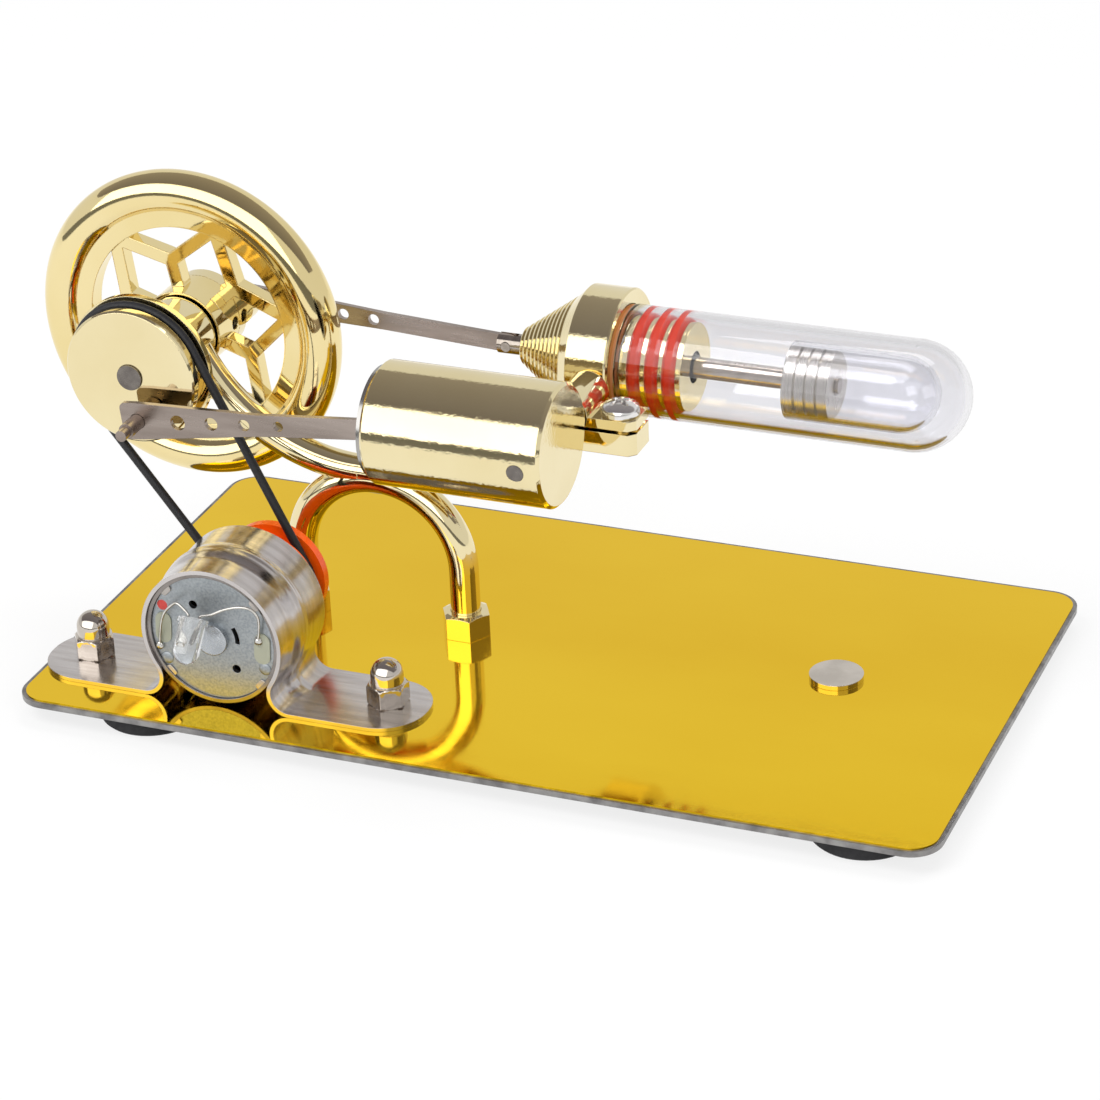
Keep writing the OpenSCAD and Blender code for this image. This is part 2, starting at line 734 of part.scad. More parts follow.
module frame_leg_screws() {
    color("silver") place()
        for (s = [-1, 1])
            translate([arch_x + s * arch_r, frame_y, 0]) difference() {
                union() {
                    translate([0, 0, -film_t - plate_t]) cylinder(d = m3_d, h = leg_screw_l + plate_t);
                    translate([0, 0, -film_t - plate_t - leg_head_h]) cylinder(d = m3_head_d, h = leg_head_h);
                }
                translate([0, 0, -film_t - plate_t - leg_head_h]) cross_cut();
            }
}

module cross_cut() {
    for (a = [0, 90])
        rotate([0, 0, a]) cube([m3_head_d * cross_share, cross_w, 2 * cross_deep], center = true);
}

module strap_shape(arc_r, bend_r, low) {
    union() {
        translate([0, motor_z]) circle(r = arc_r);
        difference() {
            polygon([[-fillet_dx, low], [fillet_dx, low], [fillet_dx, fillet_z], [0, motor_z],
                [-fillet_dx, fillet_z]]);
            for (s = [-1, 1])
                translate([s * fillet_dx, fillet_z]) circle(r = bend_r + bend_ease);
        }
    }
}

module bracket_plan() {
    r = strap_corner;
    union() {
        translate([-strap_reach + r, 0]) square([2 * strap_reach - 2 * r, strap_w]);
        translate([-strap_reach, r]) square([2 * strap_reach, strap_w - 2 * r]);
        for (x = [-strap_reach + r, strap_reach - r])
            for (y = [r, strap_w - r])
                translate([x, y]) circle(r = r);
    }
}

module motor_bracket() {
    color("gray") place() translate([motor_x, 0, 0]) intersection() {
        difference() {
            translate([0, strap_y1, 0]) rotate([90, 0, 0]) linear_extrude(strap_w) difference() {
                union() {
                    strap_shape(strap_ro, strap_fillet, 0);
                    translate([-strap_reach, 0]) square([2 * strap_reach, strap_t]);
                }
                strap_shape(strap_ri, strap_fillet + strap_t, -cut);
            }
            for (s = [-1, 1])
                translate([s * bolt_reach, bolt_y, -cut])
                    cylinder(d = bolt_d + 2 * hole_slack, h = strap_t + 2 * cut);
        }
        translate([0, strap_y0, -cut]) linear_extrude(motor_z + strap_ro + 2 * cut) bracket_plan();
    }
}

module bracket_cap_nuts() {
    color("silver") place()
        for (s = [-1, 1])
            translate([motor_x + s * bolt_reach, bolt_y, strap_t]) difference() {
                union() {
                    hex_ring(cap_af, cap_hex_h, bolt_d / 2 + fit, nut_bevel);
                    translate([0, 0, cap_hex_h]) difference() {
                        union() {
                            cylinder(r = cap_dome_r, h = cap_h - cap_hex_h - cap_dome_r);
                            translate([0, 0, cap_h - cap_hex_h - cap_dome_r]) sphere(r = cap_dome_r);
                        }
                        translate([0, 0, -cap_dome_r]) cylinder(r = cap_dome_r + cut, h = cap_dome_r);
                    }
                }
                translate([0, 0, -cut]) cylinder(r = bolt_d / 2 + fit, h = cap_hex_h + bolt_d / 4 + cut);
            }
}

module bracket_bolts() {
    color("silver") place()
        for (s = [-1, 1])
            translate([motor_x + s * bolt_reach, bolt_y, 0]) {
                translate([0, 0, -film_t - plate_t])
                    cylinder(d = bolt_d, h = film_t + plate_t + strap_t + cap_hex_h);
                translate([0, 0, -film_t - plate_t - bolt_head_h])
                    cylinder(d = bolt_head_d, h = bolt_head_h);
            }
}

module motor_can() {
    color("gray") place() at_motor() difference() {
        rod_y(motor_r, motor_y0, motor_y1);
        rod_y(motor_r - can_t, motor_y0 - cut, motor_y1 - can_t);
        rod_y(end_boss_d / 2 + fit, motor_y1 - 2 * can_t, motor_y1 + cut);
    }
}

module end_windows() {
    rotate([0, term_turn, 0]) for (s = [-1, 1])
        translate([s * term_r, end_y, 0]) for (z = [-1, 1]) {
            translate([0, 0, z * (term_h - term_w) / 2]) rod_y(term_w / 2, -cut, end_t + cut);
            translate([-term_w / 2, -cut, -(term_h - term_w) / 2])
                cube([term_w, end_t + 2 * cut, term_h - term_w]);
        }
}

module motor_end_plate() {
    color("lightgray") place() at_motor() difference() {
        union() {
            rod_y(motor_r - can_t - fit, end_y, end_y + end_t);
            rod_y(end_boss_d / 2, end_y - end_boss_h, end_y + 2 * end_t);
        }
        rod_y(motor_shaft_d / 2 + 2 * fit, end_y, end_y + 3 * end_t);
        for (a = end_hole_turn)
            rotate([0, -a, 0]) translate([end_hole_r, 0, 0])
                rod_y(end_hole_d / 2, end_y - cut, end_y + end_t + cut);
        translate([0, end_y + end_t + cut, 0])
            arc_y(end_slot_r - end_slot_w / 2, end_slot_r + end_slot_w / 2, end_t + 2 * cut,
                end_slot_turn[0], end_slot_turn[1]);
        end_windows();
    }
}

module motor_terminals() {
    color("tan") place() at_motor() intersection() {
        rod_y(motor_r - can_t, end_y - term_out, end_y + end_t);
        end_windows();
    }
}

module motor_field_magnets() {
    color("dimgray") place() at_motor() for (a = [0, 180])
        translate([0, motor_y1 - 2 * can_t - end_t, 0])
            arc_y(motor_r - can_t - magnet_t, motor_r - can_t - fit, magnet_l, a + magnet_turn[0],
                a + magnet_turn[1]);
}

module motor_rear_bush() {
    color("goldenrod") place() at_motor() difference() {
        rod_y(end_boss_d / 2, motor_y1 - 2 * can_t - end_t, motor_y1);
        rod_y(motor_shaft_d / 2 + fit, motor_y0, motor_y1 + cut);
    }
}

module lamp_axis() {
    translate([lead_x0, lead_y0, lead_z0]) rotate([90 + led_tilt, 0, 0]) children();
}

module lamp_body() {
    color("white") place() lamp_axis() difference() {
        union() {
            cylinder(d = led_collar_d, h = led_collar_h);
            cylinder(d = led_d, h = led_l - led_d / 2);
            translate([0, 0, led_l - led_d / 2]) sphere(d = led_d);
        }
        for (s = [-1, 1])
            translate([s * lead_pitch / 2, 0, -cut]) cylinder(d = lead_d + 2 * fit, h = led_l / 2 + cut);
    }
}

module wire(points) {
    for (i = [0 : len(points) - 2]) {
        a = points[i];
        d = points[i + 1] - a;
        l = norm(d);
        translate(a) rotate([0, acos(d[2] / l), atan2(d[1], d[0])]) {
            cylinder(d = lead_d, h = l, $fn = 24);
            sphere(r = lead_d / 2 + 2 * fit, $fn = 24);
        }
    }
}

function lead_root(s) = [lead_x0 + s * lead_pitch / 2, lead_y0 + led_collar_h * cos(led_tilt),
    lead_z0 + led_collar_h * sin(led_tilt)];

function lead_bend(share) = [motor_x + share[0] * motor_r, motor_y0 - share[1] * led_front,
    motor_z + share[2] * motor_r];

function lead_bead(share) = [motor_x + share[0] * motor_r, bead_y, motor_z + share[1] * motor_r];

module lead_line(s, bends, bead) {
    lamp_axis() translate([s * lead_pitch / 2, 0, -led_collar_h])
        cylinder(d = lead_d, h = led_collar_h + led_l / 2, $fn = 24);
    wire(concat([lead_root(s)], [for (b = bends) lead_bend(b)], [lead_bead(bead)]));
    translate(lead_bead(bead)) translate([0, solder_h / 2, 0]) rotate([90, 0, 0])
        cylinder(d1 = solder_d, d2 = lead_d + 4 * fit, h = solder_h);
}

module lamp_leads() {
    color("silver") place() {
        lead_line(-1, left_lead_shares, left_bead_shares);
        lead_line(1, right_lead_shares, right_bead_shares);
    }
}

module shaft_bearings() {
    color("silver") place() at_crank()
        for (y = [housing_y0, housing_y0 + housing_l - bearing_w]) difference() {
            rod_y(bearing_d / 2 - fit, y, y + bearing_w);
            rod_y(shaft_d / 2 + fit, y - cut, y + bearing_w + cut);
            for (v = [y - cut, y + bearing_w - race_t]) difference() {
                rod_y(bearing_d / 2 - race_t, v, v + race_t + cut);
                rod_y(shaft_d / 2 + race_t, v - cut, v + race_t + 2 * cut);
            }
        }
}

module power_cylinder() {
    color("gold") place() difference() {
        union() {
            at_power() turn_x() polygon([[0, pcyl_x0], [pcyl_r - pcyl_bevel, pcyl_x0],
                [pcyl_r, pcyl_x0 + pcyl_bevel], [pcyl_r, pcyl_x1 - pcyl_bevel],
                [pcyl_r - pcyl_bevel, pcyl_x1], [0, pcyl_x1]]);
            translate([tube_x, 0, tube_z]) rod_y(socket_r, front_rod_y, front_rod_y + pcyl_r + socket_l);
        }
        at_power() rod_x(liner_d / 2 + fit, pcyl_x0 - cut, pcyl_x1 - pcyl_end_t);
        translate([tube_x, 0, tube_z]) rod_y(tube_bore / 2, front_rod_y, tube_y0 + cut);
        translate([tube_x, 0, tube_z]) rod_y(tube_d / 2 + fit, tube_y0, tube_y0 + 2 * tube_seat);
        translate([tube_x, 0, tube_z]) rod_y(plug_d / 2 + fit, front_rod_y - pcyl_r - cut, front_rod_y);
    }
}

module cylinder_liner() {
    color("lightgray") place() difference() {
        at_power() rod_x(liner_d / 2, pcyl_x0 - liner_out, pcyl_x1 - pcyl_end_t);
        at_power() rod_x(bore_d / 2, pcyl_x0 - liner_out - cut, pcyl_x1);
        translate([tube_x, 0, tube_z]) rod_y(tube_bore / 2, front_rod_y, tube_y0);
    }
}

module cylinder_plug() {
    color("gray") place() intersection() {
        translate([tube_x, 0, tube_z])
            rod_y(plug_d / 2, front_rod_y - pcyl_r - cut, front_rod_y);
        at_power() difference() {
            rod_x(pcyl_r, pcyl_x0, pcyl_x1);
            rod_x(liner_d / 2 + fit, pcyl_x0 - cut, pcyl_x1 + cut);
        }
    }
}

module passage_tube() {
    color("gold") place() translate([tube_x, 0, tube_z]) difference() {
        rod_y(tube_d / 2, tube_y0, tube_y1);
        rod_y(tube_bore / 2, tube_y0 - cut, tube_y1 + cut);
    }
}

module clamp_screw() {
    color("silver") place() translate([clamp_screw_x, clamp_screw_y, ear_bottom]) difference() {
        union() {
            cylinder(d = m3_d, h = ear_top - ear_bottom);
            translate([0, 0, ear_top - ear_bottom]) intersection() {
                cylinder(d = clamp_head_d, h = clamp_head_h);
                translate([0, 0, clamp_head_h - clamp_head_d * dome_share]) sphere(r = clamp_head_d * dome_share);
            }
        }
        translate([0, 0, ear_top - ear_bottom + clamp_head_h]) cross_cut();
    }
}

function rib_points() = [for (i = [0 : cone_ribs - 1]) for (k = [0, 1, 2, 3])
    let (x = head_x0 + (i + rib_shares[k]) * cone_l / cone_ribs,
        r = head_tip_r + (cone_r - head_tip_r) * (x - head_x0) / cone_l)
    [r - (k == 1 || k == 2 ? rib_deep : 0), x]];

module displacer_head() {
    color("gold") place() difference() {
        at_disp() turn_x() polygon(concat([[0, head_x0], [head_tip_r, head_x0]], rib_points(),
                [[cone_r, head_x0 + cone_l], [band_r, head_x0 + cone_l + slope_l],
                [band_r, head_x1 - band_bevel], [band_r - band_bevel, head_x1], [spigot_r, head_x1],
                [spigot_r, spigot_x1], [0, spigot_x1]]));
        for (d = seal_at)
            at_disp() difference() {
                rod_x(spigot_r + cut, spigot_x1 - d - seal_d / 2 - fit, spigot_x1 - d + seal_d / 2 + fit);
                rod_x(seal_r - seal_d / 2 - fit, spigot_x1 - d - seal_d, spigot_x1 - d + seal_d);
            }
        at_disp() rod_x(head_bore / 2 + fit, head_x0 + head_tip_wall, spigot_x1 + cut);
        at_disp() rod_x(disp_rod_d / 2 + 4 * fit, head_x0 - cut, spigot_x1);
        translate([tube_x, 0, tube_z]) rod_y(tube_bore / 2, tube_y1 - cut, disp_y);
        translate([tube_x, 0, tube_z])
            rod_y(tube_d / 2 + fit, clamp_y0 + clamp_w, tube_y1);
    }
}

module rod_bush() {
    color("goldenrod") place() at_disp() difference() {
        rod_x(head_bore / 2, head_x0 + head_tip_wall, head_x0 + head_tip_wall + bush_l);
        rod_x(disp_rod_d / 2 + fit, head_x0, spigot_x1);
    }
}

module seal_rings() {
    color("orangered") place() at_disp() for (d = seal_at)
        translate([spigot_x1 - d, 0, 0]) rotate([0, 90, 0]) rotate_extrude()
            translate([seal_r, 0]) circle(d = seal_d, $fn = 48);
}

module mouth_gasket() {
    color("sienna") place() at_disp() difference() {
        rod_x(glass_r - gasket_in, head_x1, glass_x0);
        rod_x(spigot_r + fit, head_x1 - cut, glass_x0 + cut);
    }
}

module round_tube(r, x0, x1) {
    rod_x(r, x0, x1 - r);
    translate([x1 - r, 0, 0]) sphere(r = r);
}

module glass_tube() {
    color("white") place() at_disp() difference() {
        round_tube(glass_r, glass_x0, glass_x1);
        round_tube(glass_ri, glass_x0 - cut, glass_x1 - glass_wall);
    }
}

module drive_belt() {
    color("black") place() {
        translate([crank_x, belt_y, axis_z])
            bend_y(disc_groove_r, belt_d / 2, belt_dir + belt_a, belt_dir + 360 - belt_a);
        translate([motor_x, belt_y, motor_z])
            bend_y(pulley_groove_r, belt_d / 2, belt_dir - belt_a, belt_dir + belt_a);
        belt_side(1);
        belt_side(-1);
    }
}

module belt_side(s) {
    n = belt_dir + s * belt_a;
    x0 = crank_x + disc_groove_r * cos(n);
    z0 = axis_z + disc_groove_r * sin(n);
    x1 = motor_x + pulley_groove_r * cos(n);
    z1 = motor_z + pulley_groove_r * sin(n);
    translate([x0, belt_y, z0]) rotate([0, atan2(x1 - x0, z1 - z0), 0]) translate([0, 0, -cut])
        cylinder(r = belt_d / 2 - fit, h = belt_run + 2 * cut, $fn = 48);
}

module crank_shaft() {
    color("silver") place() at_crank() rod_y(shaft_d / 2, disc_y0 - shaft_proud, rear_boss_y0);
}

module star_bar(p, q) {
    d = q - p;
    n = [-d[1], d[0]] / norm(d) * bar_w / 2;
    polygon([p + n, q + n, q - n, p - n]);
}

module flywheel() {
    color("gold") place() at_crank() difference() {
        union() {
            translate([0, web_y, 0]) rotate([90, 0, 0]) rotate_extrude()
                translate([rim_r, 0]) circle(r = rim_bead_r, $fn = 48);
            difference() {
                rod_y(rim_r, web_y - ring_t / 2, web_y + ring_t / 2);
                rod_y(ring_r, web_y - ring_t, web_y + ring_t);
            }
            translate([0, web_y, 0]) slab_y(web_t) for (k = [0 : 5]) {
                a = star_angle + 60 * k;
                u = star_node_r * [cos(a + 30), sin(a + 30)];
                v = star_node_r * [cos(a - 30), sin(a - 30)];
                w = (ring_r + bar_w / 2) * [cos(a), sin(a)];
                star_bar(u, w);
                star_bar(v, w);
                star_bar(u * hub_r / star_node_r / 2, u);
                translate(u) circle(d = bar_w, $fn = 32);
            }
            rod_y(hub_r, hub_y0, rear_arm_y0);
        }
        rod_y(shaft_d / 2 + fit, hub_y0 - cut, rear_arm_y0 + cut);
        translate([shaft_d / 2, rear_arm_y0 - set_screw_in, 0]) rod_x(set_screw_d / 2 + fit, 0, hub_r);
    }
}

module hub_set_screw() {
    color("dimgray") place() at_crank() translate([0, rear_arm_y0 - set_screw_in, 0]) difference() {
        rod_x(set_screw_d / 2, shaft_d / 2 + fit, hub_r - set_key / 2);
        rotate([0, 90, 0]) translate([0, 0, hub_r - 2 * set_key]) cylinder(d = set_key, h = 2 * set_key, $fn = 6);
    }
}

module front_crank_disc() {
    color("gold") place() at_crank() difference() {
        union() {
            translate([0, disc_y0, 0]) rotate([-90, 0, 0]) rotate_extrude()
                polygon([[0, 0], [disc_front_r - disc_bevel, 0], [disc_front_r, disc_bevel],
                    [disc_front_r, disc_front_t], [0, disc_front_t]]);
            rod_y(disc_groove_r - belt_d / 2 - belt_gap, disc_y0, disc_y0 + disc_t);
            rod_y(disc_rear_r, disc_y0 + disc_t - disc_rear_t, disc_y0 + disc_t);
        }
        rod_y(shaft_d / 2 + fit, disc_y0 - cut, disc_y0 + disc_t + cut);
    }
}

module front_pin_spacer() {
    color("silver") place() translate([fpx, 0, fpz]) rod_y(boss_d / 2, disc_y0 - front_boss_l, disc_y0);
}

module rear_crank_arm() {
    color("gold") place() at_crank() difference() {
        rotate([0, -rear_pin_angle, 0]) union() {
            rod_y(hub_r, rear_arm_y0, rear_boss_y0);
            translate([crank_r, 0, 0]) rod_y(rear_arm_r, rear_arm_y0, rear_boss_y0);
        }
        rod_y(shaft_d / 2 + fit, rear_arm_y0 - cut, rear_boss_y0 + cut);
    }
}

module rear_pin_spacer() {
    color("silver") place() translate([rpx, 0, rpz]) rod_y(boss_d / 2, rear_boss_y0, rear_boss_y0 + rear_boss_l);
}

module front_rod_shape() {
    h1 = front_rod_h1 / 2;
    h2 = front_rod_h2 / 2;
    h3 = front_rod_h3 / 2;
    c = front_rod_corner;
    difference() {
        union() {
            translate([-front_rod_nose, -h1 + c]) square([front_rod_nose, 2 * h1 - 2 * c]);
            translate([-front_rod_nose + c, -h1]) square([front_rod_nose - c, 2 * h1]);
            for (s = [-1, 1])
                translate([-front_rod_nose + c, s * (h1 - c)]) circle(r = c, $fn = 32);
            polygon([[0, h1], [0, -h1], [front_rod_waist, -h2], [front_rod_l, -h3], [front_rod_l, h3],
                [front_rod_waist, h2]]);
            translate([front_rod_l, 0]) circle(r = h3);
        }
        circle(r = stud_d / 2 + fit);
        translate([front_rod_l, 0]) circle(r = wrist_d / 2 + fit);
        for (i = [0 : len(front_hole_d) - 1])
            translate([front_hole_share[i] * front_rod_l, 0]) circle(d = front_hole_d[i], $fn = 48);
    }
}

module power_rod() {
    color("gray") place() translate([fpx, front_rod_y, fpz]) rotate([0, -front_rod_tilt, 0])
        slab_y(rod_t) front_rod_shape();
}

module power_rod_stud() {
    y0 = front_rod_y - rod_t / 2;
    color("silver") place() translate([fpx, 0, fpz]) {
        rod_y(stud_d / 2, y0 - stud_l, y0 + rod_t);
        rod_y(stud_tip_d / 2, y0 - stud_l - stud_tip_l, y0 - stud_l);
    }
}

module power_piston() {
    x0 = wrist_x - piston_back;
    x1 = x0 + piston_l;
    color("gray") place() at_power() difference() {
        rod_x(bore_d / 2 - fit, x0, x1);
        rod_x(bore_d / 2 - fit - piston_wall, x0 - cut, x1 - crown_t);
        translate([wrist_x, -bore_d, 0]) rod_y(wrist_d / 2 + fit, 0, 2 * bore_d);
    }
}

module wrist_pin() {
    color("silver") place() at_power() translate([wrist_x, 0, 0])
        rod_y(wrist_d / 2, -bore_d / 2 + piston_wall / 2, bore_d / 2 - piston_wall / 2);
}

module displacer_link() {
    h1 = rear_rod_h1 / 2;
    h2 = rear_rod_h2 / 2;
    color("gray") place() translate([rpx, rear_rod_y, rpz]) rotate([0, -rear_rod_tilt, 0])
        slab_y(rod_t) difference() {
            union() {
                circle(r = h1);
                polygon([[0, h1], [0, -h1], [rear_rod_waist, -h2], [rear_rod_l, -h2], [rear_rod_l, h2],
                    [rear_rod_waist, h2]]);
                translate([rear_rod_l, 0]) circle(r = h2);
            }
            circle(r = rear_screw_d / 2 + fit);
            translate([rear_rod_l, 0]) circle(r = clevis_d / 2 + fit);
            for (i = [0 : len(rear_hole_d) - 1])
                translate([rear_hole_share[i] * rear_rod_l, 0]) circle(d = rear_hole_d[i], $fn = 48);
        }
}

module link_screw() {
    y0 = rear_rod_y - rod_t / 2;
    color("silver") place() translate([rpx, 0, rpz]) difference() {
        union() {
            rod_y(rear_screw_d / 2, y0, y0 + rod_t);
            rod_y(rear_head_d / 2, y0 + rod_t, y0 + rod_t + rear_head_h);
        }
        translate([-rear_head_d, y0 + rod_t + rear_head_h / 2, -set_key / 4])
            cube([2 * rear_head_d, rear_head_h, set_key / 2]);
    }
}

module displacer_rod() {
    sx = clevis_x - clevis_nose;
    sw = rod_t / 2 + slot_slack;
    color("silver") place() at_disp() difference() {
        union() {
            rod_x(disp_rod_d / 2, sx, dplug_x0 + dplug_l);
            rod_x(dnut_d / 2, sx, dplug_x0 + dplug_l + dnut_l);
        }
        translate([sx - cut, -sw, -disp_rod_d]) cube([clevis_nose + slot_deep + cut, 2 * sw, 2 * disp_rod_d]);
        translate([clevis_x, 0, 0]) rod_y(clevis_d / 2 + fit, -disp_rod_d, disp_rod_d);
    }
}

module clevis_pin() {
    color("silver") place() at_disp() translate([clevis_x, 0, 0])
        rod_y(clevis_d / 2, -disp_rod_d / 2, disp_rod_d / 2);
}

module displacer_plug() {
    pitch = dplug_l / dplug_lands;
    color("silver") place() at_disp() difference() {
        rod_x(dplug_r, dplug_x0, dplug_x0 + dplug_l);
        for (i = [1 : dplug_lands - 1]) difference() {
            rod_x(dplug_r + cut, dplug_x0 + i * pitch - pitch / 8, dplug_x0 + i * pitch + pitch / 8);
            rod_x(dplug_r - dplug_groove, dplug_x0, dplug_x0 + dplug_l);
        }
        rod_x(disp_rod_d / 2 + fit, dplug_x0 - cut, dplug_x0 + dplug_l + cut);
    }
}

module displacer_glass() {
    color("white") place() at_disp() difference() {
        round_tube(dglass_r, dplug_x0, dglass_x1);
        round_tube(dglass_r - dglass_wall, dplug_x0 - cut, dglass_x1 - dglass_wall);
    }
}

module generator_pulley() {
    color("orange") place() at_motor() difference() {
        union() {
            rod_y(pulley_front_r, pulley_y0, pulley_y0 + pulley_front_t);
            rod_y(pulley_groove_r - belt_d / 2 - belt_gap, pulley_y0, pulley_y1);
            rod_y(pulley_rear_r, pulley_y1 - pulley_rear_t, pulley_y1);
        }
        rod_y(motor_shaft_d / 2 + fit, pulley_y0 - cut, pulley_y1 + cut);
    }
}

module motor_shaft() {
    color("silver") place() at_motor() rod_y(motor_shaft_d / 2, end_y + pin_gap, pulley_y1);
}

module motor_armature() {
    color("sienna") place() at_motor() difference() {
        rod_y(armature_r, end_y + 4 * end_t, motor_y1 - 2 * can_t - 2 * end_t - air_gap);
        rod_y(motor_shaft_d / 2 + fit, motor_y0, motor_y1);
    }
}

base_plate();
base_film();
foot_pads();
rest_disc();
support_frame();
frame_leg_nuts();
frame_leg_screws();
motor_bracket();
bracket_cap_nuts();
bracket_bolts();
motor_can();
motor_end_plate();
motor_terminals();
motor_field_magnets();
motor_rear_bush();
lamp_body();
lamp_leads();
shaft_bearings();
power_cylinder();
cylinder_liner();
cylinder_plug();
passage_tube();
clamp_screw();
displacer_head();
rod_bush();
seal_rings();
mouth_gasket();
glass_tube();
drive_belt();
crank_shaft();
flywheel();
hub_set_screw();
front_crank_disc();
front_pin_spacer();
rear_crank_arm();
rear_pin_spacer();
power_rod();
power_rod_stud();
power_piston();
wrist_pin();
displacer_link();
link_screw();
displacer_rod();
clevis_pin();
displacer_plug();
displacer_glass();
generator_pulley();
motor_shaft();
motor_armature();
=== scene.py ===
import math
import bpy
import bmesh
from mathutils import Matrix, Vector


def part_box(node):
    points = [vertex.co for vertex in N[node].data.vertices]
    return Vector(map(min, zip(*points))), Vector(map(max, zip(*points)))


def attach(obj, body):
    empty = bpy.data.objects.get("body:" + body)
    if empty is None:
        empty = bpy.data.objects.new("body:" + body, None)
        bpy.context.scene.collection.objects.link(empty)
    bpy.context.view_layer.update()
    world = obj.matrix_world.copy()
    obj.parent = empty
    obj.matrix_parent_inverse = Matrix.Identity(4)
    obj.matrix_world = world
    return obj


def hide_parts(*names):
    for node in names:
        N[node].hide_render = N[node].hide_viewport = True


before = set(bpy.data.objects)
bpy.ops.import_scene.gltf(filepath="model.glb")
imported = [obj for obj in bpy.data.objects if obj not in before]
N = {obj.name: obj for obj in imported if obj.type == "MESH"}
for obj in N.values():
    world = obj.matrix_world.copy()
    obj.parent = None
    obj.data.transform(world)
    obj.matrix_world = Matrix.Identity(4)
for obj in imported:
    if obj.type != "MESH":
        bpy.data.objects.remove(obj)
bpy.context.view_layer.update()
MM = 0.001
FULL_TURN = 2 * math.pi
QUARTER_TURN = math.pi / 2


# Shader helpers


def node_of(nt, kind):
    return next(n for n in nt.nodes if n.type == kind)


def new_node(nt, kind, **values):
    """A new shader node with its inputs set; an underscore in a name stands for a space."""
    n = nt.nodes.new("ShaderNode" + kind)
    for key, value in values.items():
        n.inputs[key.replace("_", " ")].default_value = value
    return n


def new_mat(name):
    m = bpy.data.materials.new(name)
    m.use_nodes = True
    return m, m.node_tree, node_of(m.node_tree, "BSDF_PRINCIPLED")


def coords(nt, stretch=(1, 1, 1)):
    mapping = new_node(nt, "Mapping", Scale=stretch)
    nt.links.new(new_node(nt, "TexCoord").outputs["Object"], mapping.inputs["Vector"])
    return mapping.outputs["Vector"]


def noise(nt, vec, scale, detail):
    n = new_node(nt, "TexNoise", Scale=scale, Detail=detail)
    nt.links.new(vec, n.inputs["Vector"])
    return n.outputs["Fac"]


def ramp(nt, fac, *stops):
    """A colour that runs between two stops of (position, linear colour)."""
    r = new_node(nt, "ValToRGB")
    for element, (position, colour) in zip(r.color_ramp.elements, stops):
        element.position = position
        element.color = (*colour, 1)
    nt.links.new(fac, r.inputs["Fac"])
    return r.outputs["Color"]


def remap(nt, value, source, target):
    r = new_node(nt, "MapRange", From_Min=source[0], From_Max=source[1], To_Min=target[0], To_Max=target[1])
    nt.links.new(value, r.inputs["Value"])
    return r.outputs["Result"]


EDGE_SAMPLES = 6


def bump(nt, bsdf, height, strength, depth, edge=0.0):
    """Fine relief, depth mm deep, and edges that shade as if rounded by edge mm."""
    b = new_node(nt, "Bump", Strength=strength, Distance=depth * MM)
    nt.links.new(height, b.inputs["Height"])
    if edge:
        rounded = new_node(nt, "Bevel", Radius=edge * MM)
        rounded.samples = EDGE_SAMPLES
        nt.links.new(rounded.outputs["Normal"], b.inputs["Normal"])
    nt.links.new(b.outputs["Normal"], bsdf.inputs["Normal"])


def lin(colour):
    """Linear values of an sRGB colour that is given in steps of 0 to 255."""
    return tuple(((v / 255 + 0.055) / 1.055) ** 2.4 if v > 10.31 else v / 255 / 12.92 for v in colour)


TONE_DETAIL, GRAIN_DETAIL = 4.0, 3.0
TONE_FROM, TONE_TO = 0.35, 0.65
GRAIN_SPAN = (0.3, 0.7)


def surface(name, dark, light, rough, scale, grain, depth, strength,
            stretch=(1, 1, 1), edge=0.0, metallic=0.0):
    """An opaque material: soft patches between two tones, and a fine grain in roughness and relief."""
    m, nt, b = new_mat(name)
    b.inputs["Metallic"].default_value = metallic
    v = coords(nt, stretch)
    patches = noise(nt, v, scale, TONE_DETAIL)
    tone = ramp(nt, patches, (TONE_FROM, lin(dark)), (TONE_TO, lin(light)))
    nt.links.new(tone, b.inputs["Base Color"])
    fine = noise(nt, v, grain, GRAIN_DETAIL)
    nt.links.new(remap(nt, fine, GRAIN_SPAN, rough), b.inputs["Roughness"])
    bump(nt, b, fine, strength, depth, edge)
    return m


def metal(name, dark, light, rough, scale=60, grain=220, depth=0.02, strength=0.15, **more):
    return surface(name, dark, light, rough, scale, grain, depth, strength, metallic=1.0, **more)


def plastic(name, dark, light, rough, scale=80, grain=600, depth=0.04, strength=0.3):
    return surface(name, dark, light, rough, scale, grain, depth, strength)


WALL_TONE = (0.36, 0.30, 0.24, 1)
CLEAR_SCALE, CLEAR_GRAIN, CLEAR_GRAIN_DETAIL = 25, 60, 2.0
CLEAR_LIFT, CLEAR_STRENGTH, CLEAR_DEPTH = 3, 0.01, 0.02


def clear(name, ior, tint, rough, through=1.0, absorb=0.0):
    """A clear material; absorb darkens light on its way through the wall."""
    m, nt, b = new_mat(name)
    if absorb:
        wall = new_node(nt, "VolumeAbsorption", Color=WALL_TONE, Density=absorb)
        nt.links.new(wall.outputs["Volume"], node_of(nt, "OUTPUT_MATERIAL").inputs["Volume"])
    b.inputs["Transmission Weight"].default_value = through
    b.inputs["IOR"].default_value = ior
    v = coords(nt)
    patches = noise(nt, v, CLEAR_SCALE, GRAIN_DETAIL)
    light = tuple(min(255, t + CLEAR_LIFT) for t in tint)
    tone = ramp(nt, patches, (GRAIN_SPAN[0], lin(tint)), (GRAIN_SPAN[1], lin(light)))
    nt.links.new(tone, b.inputs["Base Color"])
    fine = noise(nt, v, CLEAR_GRAIN, CLEAR_GRAIN_DETAIL)
    nt.links.new(remap(nt, fine, GRAIN_SPAN, (0.0, rough)), b.inputs["Roughness"])
    bump(nt, b, fine, CLEAR_STRENGTH, CLEAR_DEPTH)
    return m


